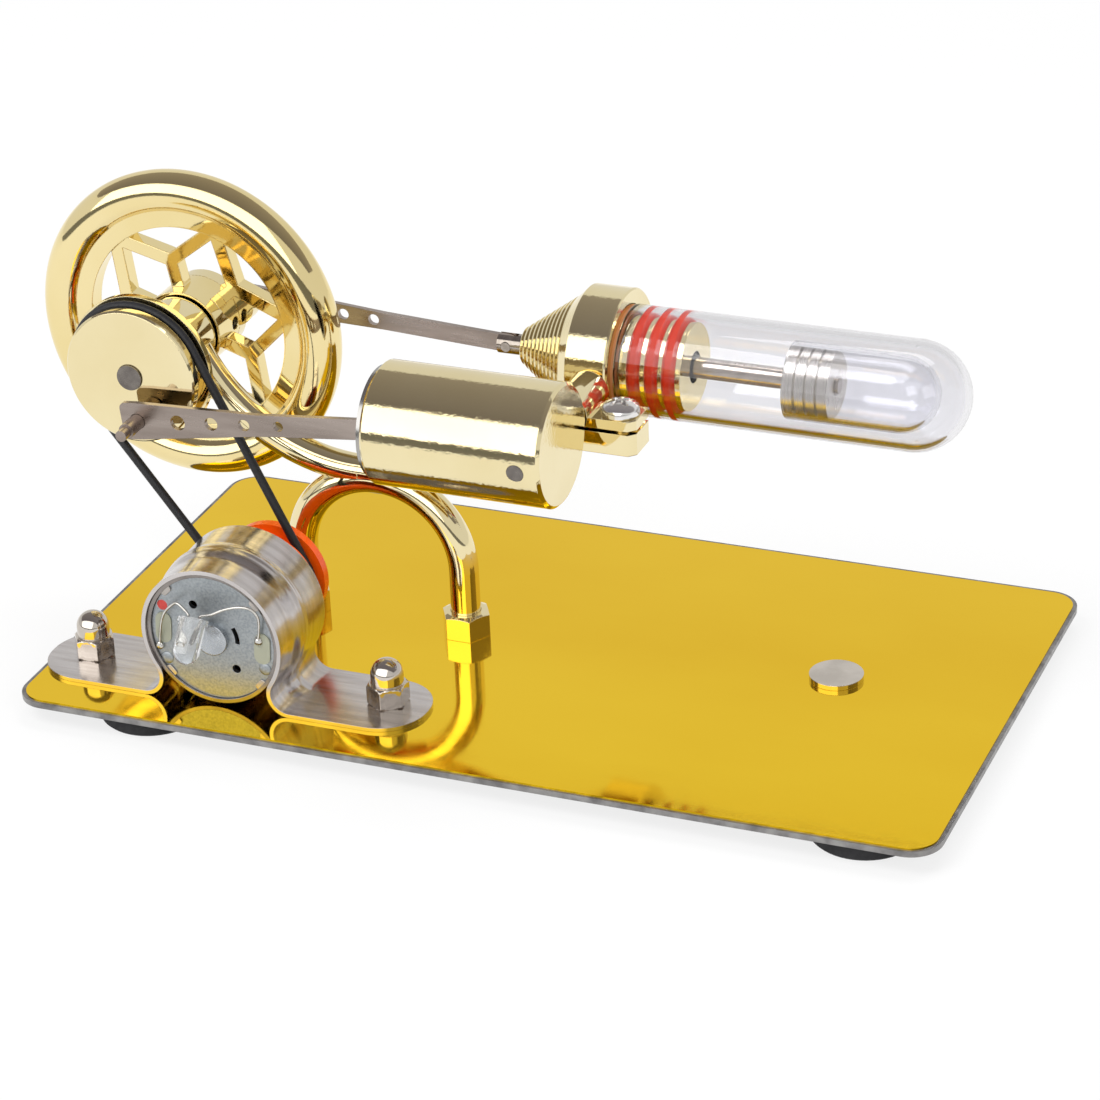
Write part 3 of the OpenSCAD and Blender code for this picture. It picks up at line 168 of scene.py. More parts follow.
# Materials: sRGB tones, depth and edge in mm
CHROME = {"scale": 40, "edge": 0.18}
POLISHED = {"grain": 900, "depth": 0.012, "strength": 0.22}
GOLD = metal("gold_chrome", (234, 218, 170), (240, 226, 182), (0.03, 0.07), **CHROME, **POLISHED)
PEEL = metal("gold_chrome_grained", (234, 218, 170), (240, 226, 182), (0.03, 0.08), grain=1600,
             depth=0.04, strength=0.6, **CHROME)
WHEEL = metal("gold_chrome_wheel", (236, 216, 156), (242, 224, 170), (0.03, 0.07), scale=40, edge=0.4,
              **POLISHED)
FILM = metal("gold_film", (242, 196, 14), (248, 205, 28), (0.05, 0.09), scale=9, stretch=(1, 2, 1),
             grain=160, depth=0.03, strength=0.08)
PLATE = metal("steel_plate", (120, 118, 118), (160, 158, 156), (0.28, 0.45), scale=300, grain=900,
              depth=0.04, strength=0.4)
NICKEL = metal("nickel", (196, 188, 178), (214, 206, 196), (0.06, 0.12), scale=200, grain=700,
               depth=0.01, strength=0.2, edge=0.15)
# The clamp screw's nickel, made lighter than the nickel of the nuts: a painted highlight for the bright
# softbox that its domed head mirrors.
LIT_NICKEL = metal("nickel_painted_highlight", (226, 224, 220), (240, 238, 236), (0.12, 0.22), scale=200, grain=700,
              depth=0.01, strength=0.2, edge=0.12)
ZINC = metal("zinc_steel", (168, 162, 156), (190, 184, 178), (0.16, 0.26), scale=260, grain=900,
             strength=0.2)
STAIN = metal("stainless", (188, 182, 179), (208, 203, 201), (0.17, 0.25), stretch=(1, 12, 1), grain=260,
              depth=0.015, strength=0.2, edge=0.12)
# The can's steel, darker than the zinc steel of its own crimp tabs: painted shade for the gap between the
# strap and the end plate.
SHADED_CAN = metal("can_steel_painted_shade", (132, 126, 122), (156, 150, 146), (0.18, 0.28), scale=200, grain=900,
            strength=0.2, edge=0.15)
ZSHEET = metal("zinc_sheet", (150, 156, 160), (172, 177, 180), (0.38, 0.5), scale=2200, grain=2600,
               depth=0.03, strength=0.4, edge=0.1)
BOSS = metal("turned_zinc", (170, 174, 178), (184, 188, 192), (0.22, 0.3), scale=400, grain=1600,
             depth=0.006, strength=0.12)
BRONZE = metal("bronze", (160, 116, 66), (186, 140, 88), (0.28, 0.42), scale=600, grain=1200)
BEAR = metal("bearing_steel", (170, 170, 170), (196, 196, 196), (0.12, 0.2), scale=300)
LINER = metal("liner_steel", (150, 148, 145), (176, 174, 170), (0.18, 0.28), scale=20, stretch=(60, 1, 1),
              grain=30, strength=0.25)
PLUG = metal("grey_plug", (112, 106, 102), (134, 128, 122), (0.24, 0.36), scale=500, grain=1500)
SHAFT = metal("shaft_steel", (160, 150, 140), (184, 174, 164), (0.10, 0.18), scale=30, stretch=(40, 1, 40),
              grain=60, depth=0.01, strength=0.2)
DARK = metal("dark_steel", (40, 38, 36), (58, 54, 50), (0.3, 0.45), scale=400)
ROD = metal("rod_steel", (146, 134, 126), (170, 158, 150), (0.24, 0.36), scale=90, stretch=(0.4, 1, 3),
            grain=500, strength=0.25, edge=0.1)
ALU = metal("ribbed_aluminium", (206, 200, 188), (224, 218, 206), (0.24, 0.34), scale=40,
            stretch=(40, 1, 1), grain=60, strength=0.3)
COPPER = metal("copper_winding", (140, 80, 44), (176, 106, 60), (0.3, 0.45), scale=30,
               stretch=(1, 40, 1))
TIN = metal("tinned_wire", (206, 204, 198), (226, 224, 218), (0.14, 0.24), scale=700, grain=1600)

PAD = plastic("foot_rubber", (26, 26, 28), (40, 39, 42), (0.75, 0.9), grain=900, depth=0.08)
PALE = plastic("pale_insulator", (158, 160, 140), (172, 174, 154), (0.4, 0.6))
FERR = plastic("ferrite", (34, 34, 36), (48, 48, 50), (0.6, 0.8))
ORANGE = plastic("orange_plastic", (255, 92, 6), (255, 108, 18), (0.2, 0.32), grain=300, depth=0.03)
SEAL = plastic("orange_rubber", (238, 44, 6), (250, 62, 14), (0.32, 0.45), grain=900)
GASKET = plastic("brown_gasket", (194, 124, 76), (218, 150, 98), (0.5, 0.7), grain=1400, depth=0.06)
BELT = plastic("belt_rubber", (22, 22, 24), (34, 34, 38), (0.45, 0.6), grain=1500, depth=0.05)
RED = plastic("red_dot", (206, 54, 48), (222, 76, 66), (0.4, 0.55), grain=1600)

GLASS = clear("clear_glass", 1.47, (245, 245, 248), 0.01, absorb=32.0)
INNER = clear("inner_glass", 1.47, (247, 247, 250), 0.02)
RESIN = clear("clear_resin", 1.54, (250, 251, 252), 0.04, through=0.88)

LOOK = (
    (GOLD, "support_frame frame_leg_nuts passage_tube front_crank_disc rear_crank_arm"),
    (PEEL, "power_cylinder displacer_head"),
    (WHEEL, "flywheel"),
    (FILM, "base_film"),
    (PLATE, "base_plate"),
    (PAD, "foot_pads"),
    (NICKEL, "rest_disc bracket_cap_nuts link_screw"),
    (LIT_NICKEL, "clamp_screw"),
    (ZINC, "frame_leg_screws bracket_bolts"),
    (STAIN, "motor_bracket"),
    (SHADED_CAN, "motor_can"),
    (ZSHEET, "motor_end_plate"),
    (PALE, "motor_terminals"),
    (FERR, "motor_field_magnets"),
    (COPPER, "motor_armature"),
    (ORANGE, "generator_pulley"),
    (RESIN, "lamp_body"),
    (TIN, "lamp_leads"),
    (BEAR, "shaft_bearings"),
    (BRONZE, "motor_rear_bush rod_bush"),
    (LINER, "cylinder_liner power_piston"),
    (PLUG, "cylinder_plug crank_shaft"),
    (SHAFT, "front_pin_spacer rear_pin_spacer wrist_pin displacer_rod clevis_pin motor_shaft"),
    (ROD, "power_rod power_rod_stud displacer_link"),
    (DARK, "hub_set_screw"),
    (SEAL, "seal_rings"),
    (GASKET, "mouth_gasket"),
    (GLASS, "glass_tube"),
    (INNER, "displacer_glass"),
    (ALU, "displacer_plug"),
    (BELT, "drive_belt"))
for mat, names in LOOK:
    for name in names.split():
        N[name].data.materials.clear()
        N[name].data.materials.append(mat)


# Mesh helpers, in mm from the plate's corner, with z from its top face
PLATE_X, PLATE_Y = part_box("base_plate")[0].xy / MM
TOP_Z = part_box("base_film")[1].z / MM
WELD = 1e-7
SOFT_STEPS, SOFT_ANGLE = 2, 35.0


def place(x, y, z):
    """A point of the plate's own frame in the shared frame, in metres."""
    return ((x + PLATE_X) * MM, (y + PLATE_Y) * MM, (z + TOP_Z) * MM)


def middle(name):
    """Middle of a CAD node's box, in the plate's own frame."""
    low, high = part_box(name)
    mid = (low + high) / 2 / MM
    return mid.x - PLATE_X, mid.y - PLATE_Y, mid.z - TOP_Z


def new_object(name, data):
    o = bpy.data.objects.new(name, data)
    bpy.context.scene.collection.objects.link(o)
    return o


def piece(name, verts, faces, mat, slot_name, stands_for=(), sharp=40.0):
    """A piece on the base; edges of more than sharp degrees stay sharp."""
    me = bpy.data.meshes.new(name)
    me.from_pydata([place(*v) for v in verts], [], faces)
    bm = bmesh.new()
    bm.from_mesh(me)
    bmesh.ops.remove_doubles(bm, verts=bm.verts, dist=WELD)
    bmesh.ops.recalc_face_normals(bm, faces=bm.faces)
    bm.to_mesh(me)
    bm.free()
    me.shade_smooth()
    me.set_sharp_from_angle(angle=math.radians(sharp))
    me.materials.append(mat)
    o = new_object(name, me)
    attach(o, "engine_base")
    if stands_for:
        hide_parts(*stands_for)
    return o


def soften(o, width):
    """A bevel on each sharp edge, width mm to each side of it."""
    b = o.modifiers.new("edges", "BEVEL")
    b.width = width * MM
    b.segments = SOFT_STEPS
    b.limit_method = "ANGLE"
    b.angle_limit = math.radians(SOFT_ANGLE)


def on_circle(r, k, n, start=0.0):
    """Point k of n on a circle of radius r."""
    a = FULL_TURN * k / n + start
    return r * math.cos(a), r * math.sin(a)


def walls(rows, sides, closed=False):
    """Faces between rows of verts, where each row is a loop of the same number of verts."""
    faces = []
    for i in range(rows if closed else rows - 1):
        j = (i + 1) % rows
        for k in range(sides):
            m = (k + 1) % sides
            faces.append((i * sides + k, i * sides + m, j * sides + m, j * sides + k))
    return faces


def ends(rows, sides):
    """One face over the first row and one over the last."""
    return [tuple(range(sides))[::-1], tuple(range((rows - 1) * sides, rows * sides))]


def tube(points, radius, sides, closed=False):
    """Verts and faces of a round tube along points."""
    pts = [Vector(q) for q in points]
    n = len(pts)
    verts, side = [], None
    for i, p in enumerate(pts):
        before = pts[i - 1] if closed or i > 0 else p
        after = pts[(i + 1) % n] if closed or i < n - 1 else p
        along = (after - before).normalized()
        side = side or along.orthogonal()
        side = (side - along * side.dot(along)).normalized()
        up = along.cross(side)
        for k in range(sides):
            c, s = on_circle(radius, k, sides)
            verts.append(p + side * c + up * s)
    return verts, walls(n, sides, closed) + ([] if closed else ends(n, sides))


def smooth_path(points, steps):
    """Points on a curve that passes through all the given points."""
    pts = [Vector(q) for q in points]
    last = len(pts) - 1
    out = []
    for i in range(last):
        p0, p1, p2, p3 = pts[max(i - 1, 0)], pts[i], pts[i + 1], pts[min(i + 2, last)]
        for k in range(steps):
            t = k / steps
            bend = (2 * p0 - 5 * p1 + 4 * p2 - p3) * t * t + (3 * p1 - p0 - 3 * p2 + p3) * t ** 3
            out.append(p1 + ((p2 - p0) * t + bend) / 2)
    return out + [pts[last]]


def turned(profile, centre, axis, segs=96):
    """Verts and faces of a closed profile of (distance along axis, radius) turned about an axis."""
    axis = Vector(axis).normalized()
    side = axis.orthogonal().normalized()
    up = axis.cross(side)
    verts = []
    for k in range(segs):
        c, s = on_circle(1.0, k, segs)
        verts += [Vector(centre) + axis * d + (side * c + up * s) * r for d, r in profile]
    return verts, walls(segs, len(profile), True)


# The round belt, one smooth loop over both grooves; CRANK and MOTOR are axes at (x, z)
CRANK, MOTOR = middle("crank_shaft")[::2], middle("motor_shaft")[::2]
BELT_Y = middle("drive_belt")[1]
BELT_R, BELT_SIDES = 0.85, 20
DISC_GROOVE, PULLEY_GROOVE = 13.2, 8.5
DISC_STEPS, PULLEY_STEPS = 72, 48


def belt_path():
    dx, dz = MOTOR[0] - CRANK[0], MOTOR[1] - CRANK[1]
    way = math.atan2(dz, dx)
    wrap = math.acos((DISC_GROOVE - PULLEY_GROOVE) / math.hypot(dx, dz))
    arcs = ((CRANK, DISC_GROOVE, way + wrap, way + FULL_TURN - wrap, DISC_STEPS),
            (MOTOR, PULLEY_GROOVE, way - wrap, way + wrap, PULLEY_STEPS))
    pts = []
    for (cx, cz), r, first, last, steps in arcs:
        for k in range(steps + 1):
            a = first + (last - first) * k / steps
            pts.append((cx + r * math.cos(a), BELT_Y, cz + r * math.sin(a)))
    return pts


loop = tube(belt_path(), BELT_R, BELT_SIDES, True)
piece("round_belt", *loop, BELT, "belt_rubber", ("drive_belt",), sharp=60)

# The strap over the generator, one sheet with a pressed step across it
STRAP_T, STRAP_R, STRAP_Y0, STRAP_W = 0.8, 14.25, 9.0, 18.5
STRAP_REACH, STRAP_CORNER, STRAP_FILLET = 39.0, 8.8, 3.5
STRAP_ROWS, FOOT_STEPS, FILLET_STEPS, ARC_STEPS = 120, 10, 13, 30
# How far the sheet stands out over its plain radius, from its front edge to its rear edge: (y, rise)
STEP = [(9.0, 0.0), (14.2, 0.0), (17.3, 0.6), (18.5, 0.74), (19.6, 0.46), (20.5, 0.32), (27.5, 0.44)]


def eased(table, v):
    """Value at v of a table of (place, value), with a soft run from each row to the next."""
    for (a, fa), (b, fb) in zip(table, table[1:]):
        if v <= b:
            t = max(0.0, (v - a) / (b - a))
            return fa + (fb - fa) * t * t * (3 - 2 * t)
    return table[-1][1]


def strap_line(y, off):
    """Half of the outline at y, from the foot's end to the top, off mm inside the outer face."""
    outer = STRAP_R + eased(STEP, y)
    fillet_z = STRAP_T + STRAP_FILLET
    drop = MOTOR[1] - fillet_z
    fillet_x = math.sqrt((outer + STRAP_FILLET) ** 2 - drop ** 2)
    turn = math.atan2(drop, fillet_x)
    half = STRAP_W / 2
    away = max(0.0, abs(y - STRAP_Y0 - half) - (half - STRAP_CORNER))
    end = STRAP_REACH - STRAP_CORNER + math.sqrt(max(0.0, STRAP_CORNER ** 2 - away ** 2))
    line = [(end + (fillet_x - end) * k / FOOT_STEPS, STRAP_T - off) for k in range(FOOT_STEPS)]
    r = STRAP_FILLET + off
    for k in range(FILLET_STEPS + 1):
        a = -QUARTER_TURN - (QUARTER_TURN + turn) * k / FILLET_STEPS
        line.append((fillet_x + r * math.cos(a), fillet_z + r * math.sin(a)))
    r = outer - off
    for k in range(1, ARC_STEPS + 1):
        a = -turn + (QUARTER_TURN + turn) * k / ARC_STEPS
        line.append((r * math.cos(a), MOTOR[1] + r * math.sin(a)))
    return line


def strap():
    verts = []
    for row in range(STRAP_ROWS + 1):
        # Rows lie closer together at both edges, where the feet's corners curve away
        y = STRAP_Y0 + STRAP_W * (0.5 - 0.5 * math.cos(math.pi * row / STRAP_ROWS))
        for off in (0.0, STRAP_T):
            half = strap_line(y, off)
            line = [(MOTOR[0] + x, y, z) for x, z in half]
            line += [(MOTOR[0] - x, y, z) for x, z in reversed(half[:-1])]
            verts += line[::-1] if off else line
    n = len(verts) // (STRAP_ROWS + 1)
    faces = walls(STRAP_ROWS + 1, n)
    for first in (0, STRAP_ROWS * n):
        last = first + n - 1
        faces += [(first + k, first + k + 1, last - 1 - k, last - k) for k in range(n // 2 - 1)]
    return verts, faces


soften(piece("bracket_strap", *strap(), STAIN, "stainless", ("motor_bracket",)), 0.12)

# Seal rings, squeezed flat where they press on the glass
DISPLACER_Y = middle("glass_tube")[1]
SPIGOT_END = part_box("displacer_head")[1].x / MM - PLATE_X
GLASS_IN = 9.1
RING_R, RING_HALF, RING_BULGE, RING_SINK, RING_STEPS = 1.25, 1.35, 1.12, 0.03, 28
RING_BACKS = (2.35, 5.75, 9.25)


def ring_profile():
    pts = []
    for k in range(RING_STEPS):
        c, s = on_circle(1.0, k, RING_STEPS)
        r = GLASS_IN - RING_R + RING_R * RING_BULGE * s
        pts.append((RING_HALF * c, min(r, GLASS_IN + RING_SINK)))
    return pts


for i, back in enumerate(RING_BACKS):
    centre = (SPIGOT_END - back, DISPLACER_Y, CRANK[1])
    piece("seal_ring_%d" % (i + 1), *turned(ring_profile(), centre, (1, 0, 0)), SEAL, "orange_rubber",
          ("seal_rings",), sharp=50)

# The lamp's leads of bent wire with soldered ends, and the metal inside it
FACE_Y = 10.1
LAMP = Vector((36.7, 6.7, 19.3))
LAMP_AXIS = Vector((0, -0.803, -0.596))
WIRE_R, WIRE_SIDES, WIRE_STEPS = 0.27, 12, 8
IN_LAMP = (4.2, 2.0, 0.2, -0.7)
SOLDER_OUT = 0.35
# Side, place across the lamp, bends as (x, z, distance out) from the end plate's middle, solder radius
LEADS = (
    ("left", -1.27,
     ((-5.2, 7.6, 2.6), (-6.6, 7.0, 2.2), (-8.6, 4.9, 1.7), (-9.8, 2.4, 1.2), (-10.6, -0.6, 0.7),
      (-11.0, -3.1, 0.45)), 0.75),
    ("right", 1.27,
     ((1.6, 6.6, 2.9), (4.4, 8.0, 2.7), (7.2, 8.7, 2.3), (9.3, 8.2, 1.7), (10.3, 6.3, 1.2),
      (10.1, 3.6, 0.8), (9.5, 1.1, 0.5)), 0.8))
# Solder: share of the radius along x, y and z, and two waves that make it uneven
BEAD_SHAPE = Vector((1.05, 0.8, 1.2))
BEAD_LUMP, BEAD_WAVE_X, BEAD_WAVE_Z = 0.10, 4.1, 3.3
BEAD_RIPPLE, BEAD_WAVE_Y = 0.06, 6.0


def lamp_point(x, h):
    """A point x mm across the lamp and h mm from its foot towards its tip."""
    return LAMP + Vector((x, 0, 0)) + LAMP_AXIS * h


def face_point(x, z, out):
    """A point out mm in front of the end plate, x and z mm from its middle."""
    return Vector((MOTOR[0] + x, FACE_Y - out, MOTOR[1] + z))


def solder(centre, r, seed):
    """A small uneven bead of solder."""
    bm = bmesh.new()
    bmesh.ops.create_icosphere(bm, subdivisions=3, radius=1.0)
    verts = []
    for v in bm.verts:
        x, y, z = v.co
        lump = BEAD_LUMP * math.sin(BEAD_WAVE_X * x + seed) * math.cos(BEAD_WAVE_Z * z - seed)
        ripple = BEAD_RIPPLE * math.sin(BEAD_WAVE_Y * y + seed)
        verts.append(centre + v.co * BEAD_SHAPE * (1 + lump + ripple) * r)
    faces = [tuple(v.index for v in f.verts) for f in bm.faces]
    bm.free()
    return verts, faces


for tag, x, bends, r in LEADS:
    way = [lamp_point(x, h) for h in IN_LAMP] + [face_point(*q) for q in bends]
    wire = tube(smooth_path(way, WIRE_STEPS), WIRE_R, WIRE_SIDES)
    piece("lead_" + tag, *wire, TIN, "tinned_wire", ("lamp_leads",), sharp=60)
    end_x, end_z = bends[-1][:2]
    bead = solder(face_point(end_x, end_z, SOLDER_OUT), r, x)
    piece("solder_" + tag, *bead, TIN, "tinned_wire", sharp=60)

# Anvil and post as outlines of (x, height), and the cup as a profile of (height, radius)
ANVIL = ((-1.65, 1.6), (-0.95, 1.6), (-0.95, 2.6), (-0.25, 3.5), (0.35, 4.3), (0.35, 5.0), (-1.65, 5.0),
         (-1.65, 3.4))
POST = ((0.95, 1.6), (1.6, 1.6), (1.6, 4.7), (1.25, 5.2), (0.85, 4.9), (0.85, 3.2))
POST_T = 0.45
CUP = ((4.95, 0.25), (5.0, 0.55), (5.45, 0.85), (5.45, 0.72), (5.1, 0.4), (5.05, 0.25))
CUP_X, CUP_SEGS = -0.6, 32


def flat_post(outline):
    across = LAMP_AXIS.cross(Vector((1, 0, 0))).normalized() * POST_T / 2
    verts = [lamp_point(x, h) + across * s for s in (-1, 1) for x, h in outline]
    return verts, ends(2, len(outline)) + walls(2, len(outline))


for tag, outline in (("anvil", ANVIL), ("post", POST)):
    soften(piece("lamp_" + tag, *flat_post(outline), TIN, "tinned_wire", sharp=30), 0.05)
piece("lamp_cup", *turned(CUP, lamp_point(CUP_X, 0), LAMP_AXIS, CUP_SEGS), TIN, "tinned_wire", sharp=30)

# Details on the generator's end plate
INWARD = (0, 1, 0)
# Profiles of (distance inward, radius): the dome in shares of its height and radius, the boss in mm
DOME = ((0.0, 0.02), (0.0, 1.0), (-0.35, 0.97), (-0.7, 0.8), (-0.92, 0.5), (-1.0, 0.02))
BEARING_BOSS = ((0.1, 0.02), (0.1, 3.22), (-0.95, 3.22), (-1.04, 3.18), (-1.09, 3.08), (-1.1, 2.9),
                (-1.1, 0.02))
# Name, x and z from the plate's middle, radius, height, material
LOW_DOMES = (("face_dot", -10.0, 5.3, 1.05, 0.12, RED),
             ("face_dimple_left", -9.9, -5.8, 1.25, 0.3, ZSHEET),
             ("face_dimple_right", 10.3, -4.9, 1.25, 0.3, ZSHEET))
DOME_SEGS = 40
for name, x, z, r, h, mat in LOW_DOMES:
    profile = [(d * h, q * r) for d, q in DOME]
    piece(name, *turned(profile, face_point(x, z, 0.0), INWARD, DOME_SEGS), mat, "zinc_sheet", sharp=30)
piece("bearing_boss", *turned(BEARING_BOSS, face_point(0, 0, 0), INWARD), BOSS, "zinc_sheet")

# Crimp tabs of the can: turns in degrees, and the outline in shares of width and height
TAB_R, TAB_W, TAB_H, TAB_T, TAB_LIFT = 12.75, 2.6, 1.1, 0.28, 0.02
TAB_TURNS = (42, 136, 222, 318)
TAB_OUTLINE = ((-0.5, 0.5), (-0.42, -0.3), (-0.3, -0.5), (0.3, -0.5), (0.42, -0.3), (0.5, 0.5))
for i, turn in enumerate(TAB_TURNS):
    a = math.radians(turn)
    ray = Vector((math.cos(a), 0, math.sin(a)))
    side = Vector((-math.sin(a), 0, math.cos(a)))
    verts = []
    for out in (TAB_LIFT, TAB_LIFT + TAB_T):
        mid = face_point(0, 0, out) + ray * (TAB_R - TAB_H / 2)
        verts += [mid + side * w * TAB_W + ray * h * TAB_H for w, h in TAB_OUTLINE]
    faces = ends(2, len(TAB_OUTLINE)) + walls(2, len(TAB_OUTLINE))
    soften(piece("can_tab_%d" % (i + 1), verts, faces, ZINC, "zinc_steel", sharp=30), 0.06)

# Cap nuts on the strap, each a chamfered hexagon with a short neck and a dome
NUT_WIDTH, NUT_HEX, NUT_DOME, NUT_H = 7.0, 4.1, 3.1, 9.0
NUT_FOOT, NUT_TOP, CORNER_ROOM, DOME_TIP = 0.28, 0.448, 0.02, 0.02
NUT_SIDES, DOME_STEPS = 72, 16
BOLT_REACH, BOLT_Y = 30.6, middle("bracket_bolts")[1]
# Hexagon: height, and how much of its corners shows there
HEX_ROWS = ((0.0, 0.05), (NUT_FOOT / 2, 0.3), (NUT_FOOT, 1.0),
            (NUT_HEX - NUT_TOP, 1.0), (NUT_HEX - NUT_TOP / 2, 0.5), (NUT_HEX, 0.0))
# Neck: height over the hexagon, and radius over the dome's
NECK_ROWS = ((0.0, 0.05), (0.12, -0.1), (0.3, 0.0))
# Side, place along the plate, turn in degrees
CAP_NUTS = (("left", MOTOR[0] - BOLT_REACH, 4), ("right", MOTOR[0] + BOLT_REACH, 32))


def hex_radius(k):
    """Radius of the hexagon at vert k of NUT_SIDES."""
    sixth = FULL_TURN / 6
    return NUT_WIDTH / 2 / math.cos((FULL_TURN * k / NUT_SIDES) % sixth - sixth / 2)


def cap_nut(x, turn):
    flat = NUT_WIDTH / 2 - CORNER_ROOM
    corner = hex_radius(0)
    rows = [(h, [min(flat + shown * (corner - flat), hex_radius(k)) for k in range(NUT_SIDES)])
            for h, shown in HEX_ROWS]
    rows += [(NUT_HEX + h, [NUT_DOME + r] * NUT_SIDES) for h, r in NECK_ROWS]
    for k in range(DOME_STEPS + 1):
        a = QUARTER_TURN * k / DOME_STEPS
        r = max(NUT_DOME * math.cos(a), DOME_TIP)
        rows.append((NUT_H - NUT_DOME + NUT_DOME * math.sin(a), [r] * NUT_SIDES))
    verts = []
    for h, radii in rows:
        for k, r in enumerate(radii):
            dx, dy = on_circle(r, k, NUT_SIDES, math.radians(turn))
            verts.append((x + dx, BOLT_Y + dy, STRAP_T + h))
    return verts, walls(len(rows), NUT_SIDES) + ends(len(rows), NUT_SIDES)


for tag, x, turn in CAP_NUTS:
    piece("cap_nut_" + tag, *cap_nut(x, turn), NICKEL, "nickel", ("bracket_cap_nuts",), sharp=25)

# Clamp screw with a cross recess in a domed head
SCREW_X, SCREW_Y = middle("clamp_screw")[:2]
HEAD_R, HEAD_H, HEAD_WALL, HEAD_RIM = 3.6, 2.6, 1.0, 0.2
SHANK_R, SHANK_L = 1.5, 6.6
HEAD_RINGS, HEAD_SIDES, HEAD_CENTRE = 44, 96, 0.01
HEAD_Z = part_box("clamp_screw")[1].z / MM - TOP_Z - HEAD_H
# Recess: turn, half width of an arm and its taper, reach, run of the walls, depth and rise
CROSS_COS, CROSS_SIN = 0.8, 0.6
ARM_HALF, ARM_TAPER, ARM_REACH = 0.62, 0.12, 2.15
SIDE_RUN, TIP_RUN = 0.16, 0.2
CROSS_DEPTH, CROSS_RISE = 1.25, 0.38


def clamped(v):
    return min(1.0, max(0.0, v))


def head_height(x, y):
    """Height of the domed head at x, y from its axis, with the recess taken out."""
    low = math.sqrt(max(0.0, 1 - (math.hypot(x, y) / HEAD_R) ** 2))
    dome = HEAD_WALL + (HEAD_H - HEAD_WALL) * low
    across, along = sorted((abs(x * CROSS_COS - y * CROSS_SIN), abs(x * CROSS_SIN + y * CROSS_COS)))
    wall = clamped((ARM_HALF - ARM_TAPER * along - across) / SIDE_RUN)
    tip = clamped((ARM_REACH - along) / TIP_RUN)
    return dome - wall * tip * (CROSS_DEPTH - CROSS_RISE * along)


def cross_screw():
    verts = []
    for i in range(HEAD_RINGS + 1):
        for k in range(HEAD_SIDES):
            x, y = on_circle(max(HEAD_R * i / HEAD_RINGS, HEAD_CENTRE), k, HEAD_SIDES)
            verts.append((SCREW_X + x, SCREW_Y + y, HEAD_Z + head_height(x, y)))
    for r, h in ((HEAD_R, HEAD_RIM), (HEAD_R - HEAD_RIM, 0.0), (SHANK_R, 0.0), (SHANK_R, -SHANK_L)):
        for k in range(HEAD_SIDES):
            x, y = on_circle(r, k, HEAD_SIDES)
            verts.append((SCREW_X + x, SCREW_Y + y, HEAD_Z + h))
    rows = len(verts) // HEAD_SIDES
    return verts, walls(rows, HEAD_SIDES) + ends(rows, HEAD_SIDES)


piece("cross_screw", *cross_screw(), LIT_NICKEL, "nickel", ("clamp_screw",), sharp=35)

# Stage: paper floor, white world, and the cards that mirror metal sees
FLOOR_HALF, FLOOR_TONE, FLOOR_ROUGH, FLOOR_SHINE = 6.0, 0.80, 0.9, 0.1
FLOOR_WHITE, WORLD_LIGHT = 0.8, 0.55
WHITE = (1, 1, 1, 1)


def flat_sheet(name, half_x, half_y, mat):
    me = bpy.data.meshes.new(name)
    corners = [(-half_x, -half_y, 0), (half_x, -half_y, 0), (half_x, half_y, 0), (-half_x, half_y, 0)]
    me.from_pydata(corners, [], [(0, 1, 2, 3)])
    me.materials.append(mat)
    return new_object(name, me)


def looked_at(nt):
    """1 for camera, glossy and transmission rays, and 0 for the rays that only bring light."""
    path = new_node(nt, "LightPath")
    found = path.outputs["Is Camera Ray"]
    for kind in ("Is Glossy Ray", "Is Transmission Ray"):
        either = new_node(nt, "Math")
        either.operation = "MAXIMUM"
        nt.links.new(found, either.inputs[0])
        nt.links.new(path.outputs[kind], either.inputs[1])
        found = either.outputs[0]
    return found


def mixed(nt, share, a, b, out):
    """Shader a, with a share of shader b mixed in, as the surface of the output node."""
    mix = new_node(nt, "MixShader")
    nt.links.new(share, mix.inputs["Fac"])
    nt.links.new(a, mix.inputs[1])
    nt.links.new(b, mix.inputs[2])
    nt.links.new(mix.outputs["Shader"], out.inputs["Surface"])


def stage_floor():
    """Paper that takes light and shadow, and shows near white to what looks at it."""
    m, nt, b = new_mat("floor_paper")
    b.inputs["Base Color"].default_value = (FLOOR_TONE, FLOOR_TONE, FLOOR_TONE, 1)
    b.inputs["Roughness"].default_value = FLOOR_ROUGH
    b.inputs["Specular IOR Level"].default_value = FLOOR_SHINE
    glow = new_node(nt, "Emission", Color=WHITE, Strength=1.0)
    part = new_node(nt, "Math")
    part.operation = "MULTIPLY"
    part.inputs[1].default_value = FLOOR_WHITE
    nt.links.new(looked_at(nt), part.inputs[0])
    out = node_of(nt, "OUTPUT_MATERIAL")
    mixed(nt, part.outputs[0], b.outputs["BSDF"], glow.outputs["Emission"], out)
    o = flat_sheet("floor", FLOOR_HALF, FLOOR_HALF, m)


def studio_world():
    """White at strength 1 to what looks at it, and dimmer as a source of light."""
    w = bpy.data.worlds.new("studio")
    bpy.context.scene.world = w
    w.use_nodes = True
    nt = w.node_tree
    bg = node_of(nt, "BACKGROUND")
    bg.inputs["Color"].default_value = WHITE
    bg.inputs["Strength"].default_value = WORLD_LIGHT
    seen = new_node(nt, "Background", Strength=1.0)
    out = node_of(nt, "OUTPUT_WORLD")
    mixed(nt, looked_at(nt), bg.outputs["Background"], seen.outputs["Background"], out)


# Name, centre, size and the point it faces, in metres, then the light of its two edges
CARDS = (
    ("ceiling", (0.0, 0.095, 1.0), (5.0, 1.55), (0, 0.095, 0),
     (0.33, 0.305, 0.30), (0.20, 0.185, 0.20)),
    ("softbox", (-0.7, -1.11, 0.555), (2.4, 1.15), (-0.7, -0.373, -0.121),
     (2.2, 2.2, 2.2), (2.4, 2.4, 2.4)),
    ("room", (0.0, -0.91, 0.066), (5.0, 1.227), (0.0, -0.806, 1.061),
     (0.16, 0.16, 0.15), (0.20, 0.20, 0.20)))


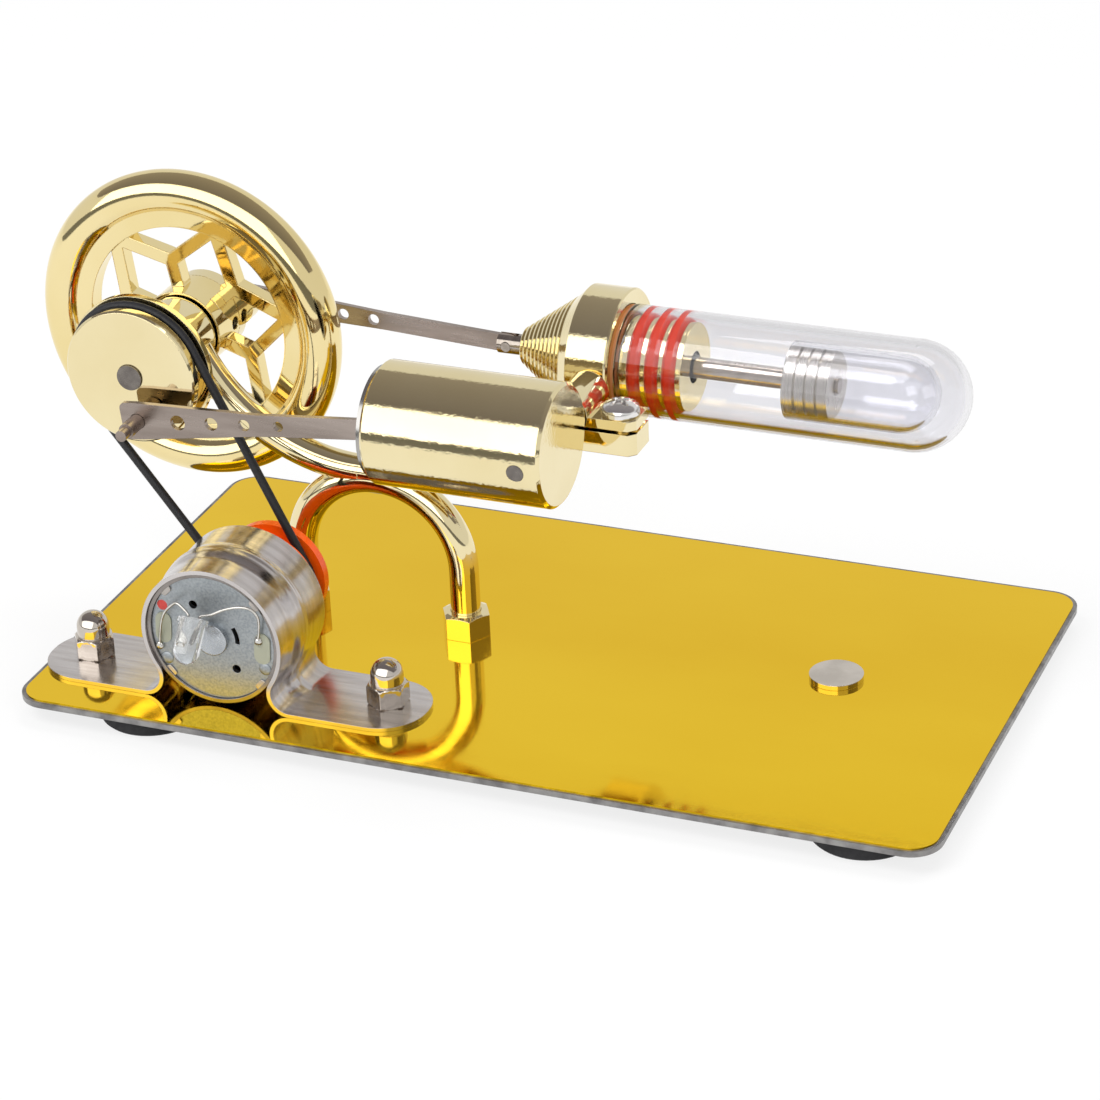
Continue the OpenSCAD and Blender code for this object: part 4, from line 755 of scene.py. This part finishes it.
def card(name, centre, size, facing, near, far):
    """A flat card that only mirror metal sees, with a soft ramp of brightness across it."""
    z = (Vector(facing) - Vector(centre)).normalized()
    x = (Vector((1, 0, 0)) - z * z.x).normalized()
    half_x, half_y = size[0] / 2, size[1] / 2
    m = bpy.data.materials.new(name)
    m.use_nodes = True
    nt = m.node_tree
    nt.nodes.clear()
    glow = new_node(nt, "Emission", Strength=1.0)
    split = new_node(nt, "SeparateXYZ")
    nt.links.new(new_node(nt, "TexCoord").outputs["Object"], split.inputs["Vector"])
    across = remap(nt, split.outputs["Y"], (-half_y, half_y), (0.0, 1.0))
    nt.links.new(ramp(nt, across, (0.0, near), (1.0, far)), glow.inputs["Color"])
    nt.links.new(glow.outputs["Emission"], new_node(nt, "OutputMaterial").inputs["Surface"])
    o = flat_sheet(name, half_x, half_y, m)
    turn = Matrix((x, z.cross(x), z)).transposed().to_4x4()
    o.matrix_world = Matrix.Translation(centre) @ turn
    o.visible_camera = False
    o.visible_shadow = False
    o.visible_diffuse = False
    o.visible_transmission = False


stage_floor()
studio_world()
for row in CARDS:
    card(*row)

# Area lights, all aimed at one point: name, place, size in metres, power in watts
AIM = Vector((0, 0, 0.03))
LIGHTS = (("key", (-0.5, -0.5, 1.1), (0.8, 0.6), 9.0),
          ("fill", (0.9, -0.7, 0.7), (0.6, 0.6), 4.0),
          ("top", (0.1, 0.5, 1.2), (0.9, 0.5), 6.0))
for name, spot, (width, height), power in LIGHTS:
    light = bpy.data.lights.new(name, "AREA")
    light.shape = "RECTANGLE"
    light.size = width
    light.size_y = height
    light.energy = power
    o = new_object(name, light)
    o.location = spot
    o.rotation_euler = (AIM - Vector(spot)).to_track_quat("-Z", "Y").to_euler()
    o.visible_glossy = False

# Camera, as fitted to the photo's plate and cylinders
CAM_PLACE = (0.260116, -0.593925, 0.358057)
CAM_TURN = Matrix(((0.92783811, -0.13788984, 0.34655855),
                   (0.37091092, 0.43891891, -0.818398),
                   (-0.03926233, 0.8878832, 0.45839054)))
cam_data = bpy.data.cameras.new("camera")
cam_data.sensor_width = 36.0
cam_data.lens = 126.57
cam_data.clip_start = 0.01
cam_data.clip_end = 50.0
cam = new_object("camera", cam_data)
cam.matrix_world = Matrix.Translation(CAM_PLACE) @ CAM_TURN.to_4x4()
bpy.context.scene.camera = cam
bpy.context.scene.view_settings.view_transform = "Standard"
